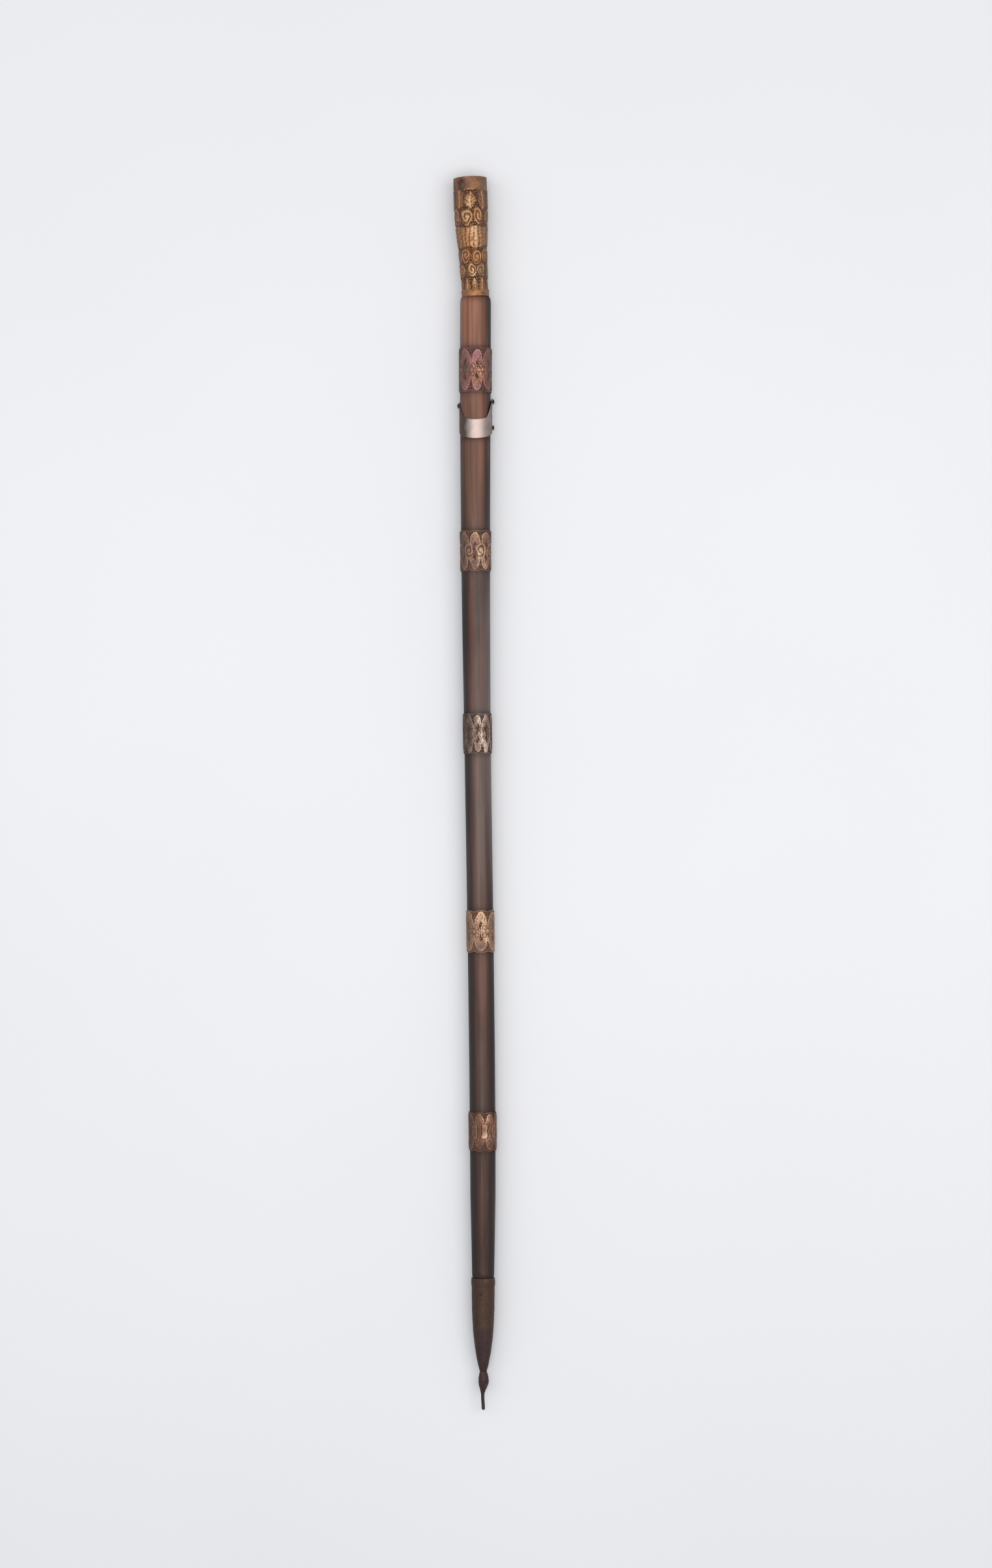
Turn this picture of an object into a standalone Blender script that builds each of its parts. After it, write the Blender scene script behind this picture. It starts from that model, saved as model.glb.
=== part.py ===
"""A staff of office: a tapering wooden stick with an embossed brass grip, five
embossed bands, a silver collar and an iron point.

The staff lies on the floor along Y with its grip towards +Y. Lengths are metres.
Distances called "down" run from the wood's shoulder, just below the grip, towards
the point. Run it with: blender --background --python part.py
"""

import math

import bmesh
import bpy
from mathutils import Matrix, Vector

# Fits between the pieces
CLEARANCE = 0.00035
FACE_GAP = 0.0003

# The whole staff, from the grip's crown to the end of the point
STAFF_LENGTH = 1.1500

# The grip, a leaning sleeve closed at its top, from its foot up
HANDLE_LENGTH = 0.1108
HANDLE_LEAN = math.radians(2.8)
HANDLE_BOW = 0.0006
HANDLE_WALL = 0.0009
HANDLE_TOP_WALL = 0.0015
HANDLE_TOP_DOME = 0.0012
HANDLE_FOOT_HEIGHT = 0.0060
HANDLE_RIM_HEIGHT = 0.0125
HANDLE_RIM_DIAMETER = 0.0313
HANDLE_RELIEF = 0.0009
HANDLE_STEP = 0.0016
FLUTES = 20
HANDLE_LIP = 0.0004
GRIP_DIAMETERS = (0.0238, 0.0244, 0.0256, 0.0283, 0.0299, 0.0301)

# The wooden stick, and how it bends off the straight line between its ends
SHAFT_DIAMETERS = (0.0287, 0.0287, 0.0270, 0.0249, 0.0243, 0.0240, 0.0233, 0.0206)
SHOULDER_HEIGHT = 0.0070
SHOULDER_DROP = 0.0013
SHOULDER_SHOWS = 0.0002
BEND_ONE_WAY = 0.00036
BEND_BOTH_WAYS = 0.00134

# The five bands, and how the wood that they leave bare is shared out above each of
# them and above the ferrule
WOOD_STRETCHES = (4.80, 12.90, 13.25, 14.60, 14.90, 11.90)
BAND_HEIGHTS = (0.0410, 0.0375, 0.0375, 0.0390, 0.0360)
BAND_SHEET = 0.00035
BAND_RELIEF = 0.00055
BAND_LOBES = (8, 8, 10, 6, 8)
BAND_TURNS = tuple(math.radians(turn) for turn in (16, -20, -1, -2, -9))
SCALLOP_DEPTH = 0.0016
SCALLOP_ROUNDNESS = 0.6
PETAL_SHARE = 0.34
BOSS_SHARE = 0.5
LAP_HALF_ANGLE = math.radians(15)
LAP_FADE_ANGLE = math.radians(10)
REST_FLAT_DEPTH = 0.0002

# The silver collar below the first band, and its two ears
EAR_BELOW_BAND = 0.0050
COLLAR_WIDTH = 0.0180
COLLAR_SHEET = 0.00045
COLLAR_DIP = 0.0060
COLLAR_STAND_OFF = 0.0009
EAR_HALF_ANGLE = math.radians(50)
EAR_HEIGHTS = {"right": 0.0145, "left": 0.0105}
EAR_ANGLES = {"right": 0.0, "left": math.pi}

# Round-headed rivets and the ferrule's nail
RIVET_HEAD_DIAMETER = 0.0048
RIVET_HEAD_HEIGHT = 0.0016
RIVET_SHANK_DIAMETER = 0.0018
RIVET_SHANK_LENGTH = 0.0060
RIVET_BELOW_EAR_TIP = 0.0034
SEAM_RIVET_BELOW_MIDDLE = 0.0042
NAIL_HEAD_DIAMETER = 0.0030
NAIL_HEAD_HEIGHT = 0.0006
NAIL_BELOW_MOUTH = 0.0140
NAIL_ANGLE = math.radians(103)

# The iron ferrule on the lower end of the wood
FERRULE_LENGTH = 0.0870
FERRULE_PROUD = 0.0005
FERRULE_TIP_DIAMETER = 0.0070
FERRULE_ROUNDING = 3.2
FERRULE_WALL = 0.0012
MOUTH_RING_HEIGHT = 0.0080
MOUTH_RING_PROUD = 0.0004
FERRULE_SOLID_TIP = 0.0270

# The iron point: a neck, a lopsided bulb and a thin pin
SPIKE_LENGTH = 0.0365
SPIKE_NECK_INSET = 0.0004
SPIKE_BULB_DIAMETER = 0.0100
SPIKE_PIN_DIAMETER = 0.0032
SPIKE_TANG_DIAMETER = 0.0040
SPIKE_TANG_LENGTH = 0.0110
BULB_SHARE = 0.26
PIN_START_SHARE = 0.64
BULB_LOPSIDED = 0.08
FULLER_SIDE = math.radians(35)
PIN_SIDEWAYS = 0.0006

# How finely the round pieces are faceted
STICK_SIDES = 24
SLEEVE_SIDES = 40
SIDES_PER_LOBE = 4
IRON_SIDES = 20
POINT_SIDES = 12
RIVET_SIDES = 8
HANDLE_ROWS = 26
BAND_ROWS = 6
SPIKE_ROWS = 10
SHAFT_STEP = 0.075
CROWN_ROW_SHARE = 0.5
BORE_ROW_SHARES = (1.0, 0.6, 0.3, 0.06, 0.0)
SHOULDER_ROW_SHARES = (0.15, 0.45, 1.0)
COLLAR_ROW_SHARES = (0.0, 0.5, 1.0)
HEAD_ROW_SHARES = (0.0, 0.5, 0.85)
SOCKET_ROW_SHARES = (0.35, 0.7, 0.88, 1.0)
MOUTH_RING_ROW_SHARES = (0.0, 0.2, 0.5, 0.8, 1.0)
FERRULE_ROW_SHARES = (0.4, 0.65, 0.8, 0.9, 1.0)

BOTTOM = math.radians(270)
SHOULDER_Y = 0.0


# Shared maths

def smooth_through(values, share):
    """Read evenly spaced values at a share of the way, along a smooth curve."""
    last = len(values) - 1
    place = min(max(share, 0.0), 1.0) * last
    index = min(int(place), last - 1)
    t = place - index
    before = values[max(index - 1, 0)]
    here = values[index]
    after = values[index + 1]
    beyond = values[min(index + 2, last)]
    linear = (after - before) * t
    square = (2 * before - 5 * here + 4 * after - beyond) * t ** 2
    cube = (3 * here - before - 3 * after + beyond) * t ** 3
    return 0.5 * (2 * here + linear + square + cube)


def fade(low, high, value):
    """Rise smoothly from 0 at low to 1 at high."""
    share = min(max((value - low) / (high - low), 0.0), 1.0)
    return share * share * (3 - 2 * share)


def angle_apart(first, second):
    """Smallest angle between two directions round the stick."""
    return abs((first - second + math.pi) % (2 * math.pi) - math.pi)


def angles(sides, start=0.0):
    """Directions of a ring's points, from the right-hand side over the top."""
    return [start + 2 * math.pi * side / sides for side in range(sides)]


# Where everything sits along the stick

FERRULE_TIP = STAFF_LENGTH - HANDLE_LENGTH - HANDLE_TOP_DOME - SPIKE_LENGTH
FERRULE_MOUTH = FERRULE_TIP - FERRULE_LENGTH


def band_spans():
    """Upper and lower edge of each band, as distances down."""
    bare_wood = FERRULE_MOUTH - sum(BAND_HEIGHTS)
    spans = []
    down = 0.0
    for stretch, height in zip(WOOD_STRETCHES, BAND_HEIGHTS):
        upper = down + bare_wood * stretch / sum(WOOD_STRETCHES)
        down = upper + height
        spans.append((upper, down))
    return spans


BANDS = band_spans()
SOCKET_DEPTH = FERRULE_LENGTH - FERRULE_SOLID_TIP
COLLAR_MIDDLE = BANDS[0][1] + EAR_BELOW_BAND + max(EAR_HEIGHTS.values()) + COLLAR_WIDTH / 2


def shaft_stations():
    """Distances down at which SHAFT_DIAMETERS are given."""
    middles = [(upper + lower) / 2 for upper, lower in BANDS]
    between = (middles[-1] + FERRULE_MOUTH) / 2
    return [0.0] + middles + [between, FERRULE_MOUTH]


def shaft_radius(down):
    """Radius of the wood, without its rounded shoulder."""
    stations = shaft_stations()
    down = min(max(down, stations[0]), stations[-1])
    index = 0
    while down > stations[index + 1]:
        index += 1
    t = (down - stations[index]) / (stations[index + 1] - stations[index])
    return smooth_through(SHAFT_DIAMETERS, (index + t) / (len(stations) - 1)) / 2


def stick_offset(down):
    """Sideways place of the stick's axis, which wanders a little."""
    turn = math.pi * down / FERRULE_TIP
    return -BEND_ONE_WAY * math.sin(turn) - BEND_BOTH_WAYS * math.sin(2 * turn)


def stick_turn(down):
    """Angle about Z of the stick's axis."""
    step = 0.001
    return math.atan2(stick_offset(down + step) - stick_offset(down - step), 2 * step)


def ring(radii, across, heights, middle=0.0):
    """One ring of points round the Y axis; its radii and heights go with its angles."""
    points = []
    for angle, radius, height in zip(across, radii, heights):
        points.append(Vector((middle + radius * math.cos(angle), height, radius * math.sin(angle))))
    return points


def round_ring(radius, height, sides, middle=0.0):
    """One ring of equal radius."""
    return ring([radius] * sides, angles(sides), [height] * sides, middle)


# Turning rings into solids

def skin(name, rings, material, loop=False):
    """Join rings into one closed solid. A ring of one point closes an end to a tip."""
    mesh = bpy.data.meshes.new(name)
    work = bmesh.new()
    rows = [[work.verts.new(point) for point in points] for points in rings]
    pairs = list(zip(rows, rows[1:]))
    if loop:
        pairs.append((rows[-1], rows[0]))
    for lower, upper in pairs:
        count = max(len(lower), len(upper))
        for side in range(count):
            after = (side + 1) % count
            corners = [lower[side % len(lower)]]
            if len(lower) > 1:
                corners.append(lower[after])
            if len(upper) > 1:
                corners.append(upper[after])
            corners.append(upper[side % len(upper)])
            work.faces.new(corners)
    bmesh.ops.recalc_face_normals(work, faces=work.faces)
    bmesh.ops.triangulate(work, faces=work.faces)
    work.to_mesh(mesh)
    work.free()
    mesh.shade_smooth()
    mesh.set_sharp_from_angle(angle=math.radians(40))
    mesh.materials.append(material)
    piece = bpy.data.objects.new(name, mesh)
    bpy.context.scene.collection.objects.link(piece)
    return piece


def tip(height, middle=0.0):
    """The single point that closes a solid on its axis."""
    return [Vector((middle, height, 0.0))]


def finish(name, color, roughness, metallic):
    """A plain material with the colour, roughness and metallic value of the real surface."""
    material = bpy.data.materials.new(name)
    material.use_nodes = True
    shader = material.node_tree.nodes["Principled BSDF"]
    shader.inputs["Base Color"].default_value = (*color, 1.0)
    shader.inputs["Roughness"].default_value = roughness
    shader.inputs["Metallic"].default_value = metallic
    return material


def seat(piece, staff, down):
    """Place a piece on the stick's axis, turned along it."""
    piece.parent = staff
    piece.location = (stick_offset(down), SHOULDER_Y - down, 0.0)
    piece.rotation_euler = (0.0, 0.0, stick_turn(down))


# The handle

def grip_share(height):
    """How far a height is between the sleeve's plain foot and its plain rim."""
    grip_height = HANDLE_LENGTH - HANDLE_FOOT_HEIGHT - HANDLE_RIM_HEIGHT
    return (height - HANDLE_FOOT_HEIGHT) / grip_height


def handle_ground(height):
    """Radius of the sleeve under its relief, at a height above its foot."""
    grip = smooth_through(GRIP_DIAMETERS, grip_share(height)) / 2
    edge = HANDLE_STEP / 2
    foot = 1 - fade(HANDLE_FOOT_HEIGHT - edge, HANDLE_FOOT_HEIGHT + edge, height)
    foot_radius = shaft_radius(0.0) - SHOULDER_DROP - SHOULDER_SHOWS
    rim_start = HANDLE_LENGTH - HANDLE_RIM_HEIGHT
    rim = fade(rim_start - edge, rim_start + edge, height)
    return grip + foot * (foot_radius - grip) + rim * (HANDLE_RIM_DIAMETER / 2 - grip)


def handle_middle(height):
    """Sideways bow of the sleeve's own axis."""
    share = height / HANDLE_LENGTH
    return -HANDLE_BOW * 4 * share * (1 - share)


def leaf_row(angle, share, leaves, phase):
    """Pointed leaves side by side: raised along their middles, low between them."""
    across = (angle * leaves / (2 * math.pi) + phase) % 1.0
    ridge = 1 - abs(2 * across - 1)
    width = math.sin(math.pi * min(max(share, 0.0), 1.0)) ** 0.5
    return fade(0.25, 1.0, ridge) * width


def scroll_row(angle, share, scrolls, phase):
    """Round scrolls side by side, each a boss with a hollow eye."""
    across = (angle * scrolls / (2 * math.pi) + phase) % 1.0 - 0.5
    reach = math.hypot(2 * across, 2 * share - 1)
    return fade(1.0, 0.45, reach) - 0.5 * fade(0.35, 0.0, reach)


def flutes(angle, count):
    """Upright round flutes."""
    return 0.5 + 0.5 * math.cos(angle * count)


def handle_relief(angle, height):
    """Height of the embossing, 0 to 1, in rows from the foot to the rim."""
    share = grip_share(height)
    if share <= 0.0 or share >= 1.0:
        return 0.0
    rows = (
        (0.00, 0.11, lambda part: leaf_row(angle, 0.3 + 0.7 * part, 10, 0.0)),
        (0.12, 0.28, lambda part: scroll_row(angle, part, 8, 0.3)),
        (0.26, 0.42, lambda part: scroll_row(angle, part, 8, 0.8)),
        (0.42, 0.65, lambda part: flutes(angle, FLUTES) * fade(0.0, 0.2, min(part, 1 - part))),
        (0.65, 0.83, lambda part: scroll_row(angle, part, 8, 0.1)),
        (0.81, 1.00, lambda part: leaf_row(angle, part, 8, 0.5)),
    )
    tallest = 0.0
    for start, end, row in rows:
        if start <= share <= end:
            tallest = max(tallest, row((share - start) / (end - start)))
    return tallest


def handle_heights():
    """Heights of the sleeve's rows of points, closer together at foot and rim."""
    grip_start = HANDLE_FOOT_HEIGHT
    grip_end = HANDLE_LENGTH - HANDLE_RIM_HEIGHT
    edge = HANDLE_STEP / 2
    rows = [0.0, grip_start - edge]
    for row in range(HANDLE_ROWS + 1):
        rows.append(grip_start + edge + (grip_end - grip_start - 2 * edge) * row / HANDLE_ROWS)
    rows.append(grip_end + edge)
    rows.append(HANDLE_LENGTH - edge)
    rows.append(HANDLE_LENGTH)
    return rows


def handle_bore(height):
    """Radius of the sleeve's inside."""
    return handle_ground(height) - HANDLE_WALL


def bore_rings(top, slack, sides):
    """Rings down the inside of the sleeve, or down the wood in it with some slack."""
    rings = [tip(top, handle_middle(top))]
    for share in BORE_ROW_SHARES:
        height = top * share
        rings.append(round_ring(handle_bore(height) - slack, height, sides, handle_middle(height)))
    return rings


def handle_sleeve(material):
    """The grip: a thin embossed sleeve, closed at its top by a low crown."""
    around = angles(SLEEVE_SIDES)
    outside = []
    for height in handle_heights():
        lip = HANDLE_LIP if height == HANDLE_LENGTH else 0.0
        radii = []
        for angle in around:
            relief = HANDLE_RELIEF * handle_relief(angle, height) * (1 - lap_share(angle))
            radii.append(handle_ground(height) - lip + relief)
        outside.append(ring(radii, around, [height] * SLEEVE_SIDES, handle_middle(height)))
    crown_radius = HANDLE_RIM_DIAMETER / 2 * CROWN_ROW_SHARE
    crown_height = HANDLE_LENGTH + HANDLE_TOP_DOME * (1 - CROWN_ROW_SHARE ** 2)
    outside.append(round_ring(crown_radius, crown_height, SLEEVE_SIDES))
    outside.append(tip(HANDLE_LENGTH + HANDLE_TOP_DOME))
    inside = bore_rings(HANDLE_LENGTH - HANDLE_TOP_WALL, 0.0, SLEEVE_SIDES)
    return skin("handle_sleeve", inside + outside, material)


def handle_place():
    """Matrix that seats the sleeve on the wood's shoulder, leaning to the left."""
    turn = Matrix.Rotation(HANDLE_LEAN + stick_turn(0.0), 4, "Z")
    return Matrix.Translation((stick_offset(0.0), SHOULDER_Y, 0.0)) @ turn


# The wooden stick

def shoulder_radius(down):
    """Radius of the wood, rounded over towards the handle."""
    share = min(down / SHOULDER_HEIGHT, 1.0)
    return shaft_radius(down) - SHOULDER_DROP * (1 - math.sqrt(1 - (1 - share) ** 2))


def shaft(material):
    """The whole stick: its leaning neck, rounded shoulder, long taper and socket end."""
    place = handle_place()
    neck = bore_rings(HANDLE_LENGTH - HANDLE_TOP_WALL - FACE_GAP, CLEARANCE, STICK_SIDES)
    neck.append(round_ring(handle_bore(0.0) - CLEARANCE, -FACE_GAP, STICK_SIDES))
    neck.append(round_ring(shoulder_radius(0.0), -FACE_GAP, STICK_SIDES))
    rings = [[place @ point for point in points] for points in neck]
    downs = [FACE_GAP + SHOULDER_HEIGHT * share for share in SHOULDER_ROW_SHARES]
    steps = max(2, round((FERRULE_MOUTH - SHOULDER_HEIGHT) / SHAFT_STEP))
    for step in range(1, steps):
        downs.append(SHOULDER_HEIGHT + (FERRULE_MOUTH - SHOULDER_HEIGHT) * step / steps)
    for down in downs:
        rings.append(round_ring(shoulder_radius(down), SHOULDER_Y - down, STICK_SIDES, stick_offset(down)))
    return skin("shaft", rings + shaft_foot(), material)


def shaft_foot():
    """Rings of the wood's end: a small step at the ferrule's mouth, then its socket end."""
    place = ferrule_place()
    foot = [round_ring(shaft_radius(FERRULE_MOUTH), FACE_GAP, STICK_SIDES)]
    foot.append(round_ring(socket_radius(0.0) - CLEARANCE, FACE_GAP, STICK_SIDES))
    foot += socket_rings(SOCKET_DEPTH - FACE_GAP, CLEARANCE, STICK_SIDES)
    return [[place @ point for point in points] for points in foot]


# The embossed bands

def lap_share(angle):
    """1 on the lapped seam along the underside of a band, 0 on the rest of it."""
    apart = angle_apart(angle, BOTTOM)
    return 1 - fade(LAP_HALF_ANGLE, LAP_HALF_ANGLE + LAP_FADE_ANGLE, apart)


def scallop(number, angle):
    """Outline of a band's edge, 1 at the tips of its lobes and 0 in the notches."""
    wave = math.sin((angle - BAND_TURNS[number - 1]) * BAND_LOBES[number - 1] / 2)
    return abs(wave) ** SCALLOP_ROUNDNESS


def band_relief(number, angle, share):
    """Height of a band's embossing, 0 to 1: petals at both edges and bosses between."""
    from_edge = min(share, 1 - share)
    petals = scallop(number, angle) * math.sin(math.pi * min(from_edge / PETAL_SHARE, 1.0))
    turned = angle - BAND_TURNS[number - 1]
    boss_height = (share - 0.5) / BOSS_SHARE + 0.5
    bosses = scroll_row(turned, boss_height, BAND_LOBES[number - 1], 0.5)
    return max(petals, bosses, 0.0)


def band(number, span, material):
    """One embossed ring of sheet metal, with both edges scalloped and a lapped seam below."""
    around = angles(SIDES_PER_LOBE * BAND_LOBES[number - 1], BAND_TURNS[number - 1])
    height = span[1] - span[0]
    middle = (span[0] + span[1]) / 2
    outside = []
    inside = []
    for row in range(BAND_ROWS + 1):
        share = row / BAND_ROWS
        outer = []
        inner = []
        heights = []
        for angle in around:
            notch = SCALLOP_DEPTH * (1 - scallop(number, angle))
            up = (share - 0.5) * (height - 2 * notch)
            wood = shaft_radius(middle - up)
            lap = lap_share(angle)
            relief = BAND_RELIEF * band_relief(number, angle, share) * (1 - lap)
            inner.append(wood + CLEARANCE)
            outer.append(wood + CLEARANCE + BAND_SHEET * (1 + lap) + relief)
            heights.append(up)
        outside.append(ring(outer, around, heights))
        if row in (0, BAND_ROWS):
            inside.append(ring(inner, around, heights))
    return skin(f"band_{number}", outside + inside[::-1], material, loop=True)


def rest_radius(number):
    """Distance from the stick's axis to the flat spot under a band."""
    upper, lower = BANDS[number - 1]
    return shaft_radius((upper + lower) / 2) + CLEARANCE + 2 * BAND_SHEET - REST_FLAT_DEPTH


# The silver collar

def collar_radius(angle, up):
    """Inner radius of the collar, which stands off the wood at the right-hand side."""
    stand_off = COLLAR_STAND_OFF * max(math.cos(angle), 0.0) ** 4
    return shaft_radius(COLLAR_MIDDLE - up) + CLEARANCE + stand_off


def collar_edges(angle):
    """Lower and upper edge of the collar, measured up from its middle."""
    dip = COLLAR_DIP * math.sin(angle)
    ear = 0.0
    for side, height in EAR_HEIGHTS.items():
        apart = min(angle_apart(angle, EAR_ANGLES[side]) / EAR_HALF_ANGLE, 1.0)
        ear += height * (1 - apart ** 2) ** 2
    return -COLLAR_WIDTH / 2 - dip, COLLAR_WIDTH / 2 - dip + ear


def silver_collar(material):
    """A plain strap of sheet silver, lower in front and with an ear at each side."""
    around = angles(SLEEVE_SIDES)
    outside = []
    inside = []
    for share in COLLAR_ROW_SHARES:
        heights = []
        inner = []
        for angle in around:
            lower, upper = collar_edges(angle)
            up = lower + share * (upper - lower)
            heights.append(up)
            inner.append(collar_radius(angle, up))
        outer = [radius + COLLAR_SHEET for radius in inner]
        outside.append(ring(outer, around, heights))
        inside.append(ring(inner, around, heights))
    return skin("silver_collar", outside + inside[::-1], material, loop=True)


# Rivets and the nail

def rivet(name, head_diameter, head_height, material):
    """A round head with its shank, pointing up along its own Y axis."""
    shank = RIVET_SHANK_DIAMETER / 2
    rings = [tip(-RIVET_SHANK_LENGTH), round_ring(shank, -RIVET_SHANK_LENGTH, RIVET_SIDES)]
    rings.append(round_ring(shank, 0.0, RIVET_SIDES))
    for share in HEAD_ROW_SHARES:
        radius = head_diameter / 2 * math.sqrt(1 - share ** 2)
        rings.append(round_ring(radius, head_height * share, RIVET_SIDES))
    rings.append(tip(head_height))
    return skin(name, rings, material)


def rivet_place(down, angle, radius):
    """Where a rivet sits: on the stick's side, pointing straight out of it."""
    axis = Matrix.Translation((stick_offset(down), SHOULDER_Y - down, 0.0))
    turn = Matrix.Rotation(stick_turn(down), 4, "Z") @ Matrix.Rotation(-angle, 4, "Y")
    point_out = Matrix.Rotation(-math.pi / 2, 4, "Z")
    return axis @ turn @ Matrix.Translation((radius + FACE_GAP, 0.0, 0.0)) @ point_out


def drill(name, place, staff, pierced):
    """Cut a rivet's hole, a little wider and deeper than its shank, through pieces."""
    radius = RIVET_SHANK_DIAMETER / 2 + CLEARANCE
    above = 2 * RIVET_HEAD_HEIGHT
    below = RIVET_SHANK_LENGTH + FACE_GAP
    rings = [tip(-below), round_ring(radius, -below, RIVET_SIDES)]
    rings += [round_ring(radius, above, RIVET_SIDES), tip(above)]
    cutter = skin(name, rings, finish(name, (0.5, 0.5, 0.5), 0.5, 0.0))
    cutter.parent = staff
    cutter.matrix_local = place
    cutter.hide_render = True
    cutter.display_type = "WIRE"
    for piece in pierced:
        hole = piece.modifiers.new(name, "BOOLEAN")
        hole.operation = "DIFFERENCE"
        hole.object = cutter


def fasteners(staff, wood, collar, socket, material):
    """The collar's three rivets and the ferrule's nail, each in its own hole."""
    ups = {}
    for side, angle in EAR_ANGLES.items():
        ups[f"ear_rivet_{side}"] = (angle, collar_edges(angle)[1] - RIVET_BELOW_EAR_TIP)
    ups["seam_rivet"] = (EAR_ANGLES["right"], -SEAM_RIVET_BELOW_MIDDLE)
    for name, (angle, up) in ups.items():
        place = rivet_place(COLLAR_MIDDLE - up, angle, collar_radius(angle, up) + COLLAR_SHEET)
        piece = rivet(name, RIVET_HEAD_DIAMETER, RIVET_HEAD_HEIGHT, material)
        piece.parent = staff
        piece.matrix_local = place
        drill(f"{name}_hole", place, staff, (wood, collar))
    place = rivet_place(FERRULE_MOUTH + NAIL_BELOW_MOUTH, NAIL_ANGLE, ferrule_radius(NAIL_BELOW_MOUTH))
    nail = rivet("ferrule_nail", NAIL_HEAD_DIAMETER, NAIL_HEAD_HEIGHT, material)
    nail.parent = staff
    nail.matrix_local = place
    drill("ferrule_nail_hole", place, staff, (wood, socket))


# The iron ferrule and its point

def ferrule_radius(depth):
    """Outer radius of the ferrule's body, which rounds in towards its tip."""
    share = min(max(depth / FERRULE_LENGTH, 0.0), 1.0)
    body = SHAFT_DIAMETERS[-1] / 2 + FERRULE_PROUD
    return body - (body - FERRULE_TIP_DIAMETER / 2) * share ** FERRULE_ROUNDING


def socket_radius(depth):
    """Radius of the ferrule's socket, at a depth below its mouth."""
    return ferrule_radius(depth) - FERRULE_WALL


def socket_rings(end, slack, sides):
    """Rings down the inside of the socket, or down the wood in it with some slack."""
    rings = []
    for share in SOCKET_ROW_SHARES:
        depth = end * share
        rings.append(round_ring(socket_radius(depth) - slack, -depth, sides))
    return rings + [tip(-end)]


def ferrule_place():
    """Matrix that seats the ferrule's mouth on the stick."""
    turn = Matrix.Rotation(stick_turn(FERRULE_MOUTH), 4, "Z")
    return Matrix.Translation((stick_offset(FERRULE_MOUTH), SHOULDER_Y - FERRULE_MOUTH, 0.0)) @ turn


def ferrule(material):
    """The iron socket: its mouth ring, its body rounding in, and a bore for the point's tang."""
    rings = socket_rings(SOCKET_DEPTH, 0.0, IRON_SIDES)[::-1]
    rings.append(round_ring(socket_radius(0.0), 0.0, IRON_SIDES))
    for share in MOUTH_RING_ROW_SHARES:
        swell = MOUTH_RING_PROUD * math.sin(math.pi * share) ** 0.5
        depth = MOUTH_RING_HEIGHT * share
        rings.append(round_ring(ferrule_radius(depth) + swell, -depth, IRON_SIDES))
    for share in FERRULE_ROW_SHARES:
        depth = FERRULE_LENGTH * share
        rings.append(round_ring(ferrule_radius(depth), -depth, IRON_SIDES))
    bore = SPIKE_TANG_DIAMETER / 2 + CLEARANCE
    bore_end = FERRULE_LENGTH - SPIKE_TANG_LENGTH - FACE_GAP
    rings.append(round_ring(bore, -FERRULE_LENGTH, IRON_SIDES))
    rings.append(round_ring(bore, -bore_end, IRON_SIDES))
    rings.append(tip(-bore_end))
    return skin("ferrule", rings, material)


def bulb_share(share):
    """How far the point swells from neck or pin, 0 to 1, towards its round bulb."""
    if share < BULB_SHARE:
        return math.sin(math.pi / 2 * share / BULB_SHARE)
    return 1 - fade(BULB_SHARE, PIN_START_SHARE, share)


def spike_ring(share):
    """One ring of the point: fuller on one side at its bulb, and its pin set a little to the left."""
    bulb = bulb_share(share)
    thin = FERRULE_TIP_DIAMETER - 2 * SPIKE_NECK_INSET if share < BULB_SHARE else SPIKE_PIN_DIAMETER
    radius = (thin + (SPIKE_BULB_DIAMETER - thin) * bulb) / 2
    around = angles(POINT_SIDES)
    radii = [radius * (1 + BULB_LOPSIDED * bulb * math.cos(angle - FULLER_SIDE)) for angle in around]
    pin = fade(BULB_SHARE, PIN_START_SHARE, share) * (1 - fade(PIN_START_SHARE, 1.0, share))
    return ring(radii, around, [-SPIKE_LENGTH * share] * POINT_SIDES, -PIN_SIDEWAYS * pin)


def spike(material):
    """The point, from the tang in the ferrule's tip down to the blunt end of the pin."""
    tang = SPIKE_TANG_DIAMETER / 2
    rings = [tip(SPIKE_TANG_LENGTH), round_ring(tang, SPIKE_TANG_LENGTH, POINT_SIDES)]
    rings.append(round_ring(tang, -FACE_GAP, POINT_SIDES))
    first = FACE_GAP / SPIKE_LENGTH
    for row in range(SPIKE_ROWS + 1):
        rings.append(spike_ring(first + (1 - first) * row / SPIKE_ROWS))
    rings.append(tip(-SPIKE_LENGTH))
    return skin("spike", rings, material)


# Lying on the floor

def lay_down(staff):
    """Tilt the staff so that the flat spots of the first and last band meet the floor."""
    first = sum(BANDS[0]) / 2
    last = sum(BANDS[-1]) / 2
    tilt = math.atan2(rest_radius(1) - rest_radius(len(BANDS)), last - first)
    staff.rotation_euler = (tilt, 0.0, 0.0)
    staff.location = (0.0, 0.0, rest_radius(1) * math.cos(tilt) + (first - SHOULDER_Y) * math.sin(tilt))


def floor_cutter():
    """A slab whose top is the floor, which takes the flat spots off the bands."""
    reach = 2 * FERRULE_TIP
    depth = 4 * BAND_SHEET + SHAFT_DIAMETERS[0]
    middle = SHOULDER_Y - FERRULE_TIP / 2
    bpy.ops.mesh.primitive_cube_add(size=1.0, location=(0.0, middle, -depth / 2))
    slab = bpy.context.object
    slab.name = "floor_cutter"
    slab.scale = (reach, reach, depth)
    slab.hide_render = True
    slab.display_type = "WIRE"
    return slab


def centre_on_origin(staff, pieces):
    """Slide the staff so that the middle of its underside's box is the origin."""
    bpy.context.view_layer.update()
    depsgraph = bpy.context.evaluated_depsgraph_get()
    corners = []
    for piece in pieces:
        shape = piece.evaluated_get(depsgraph)
        corners += [piece.matrix_world @ vertex.co for vertex in shape.data.vertices]
    for axis in (0, 1):
        values = [corner[axis] for corner in corners]
        staff.location[axis] -= (min(values) + max(values)) / 2


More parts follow.
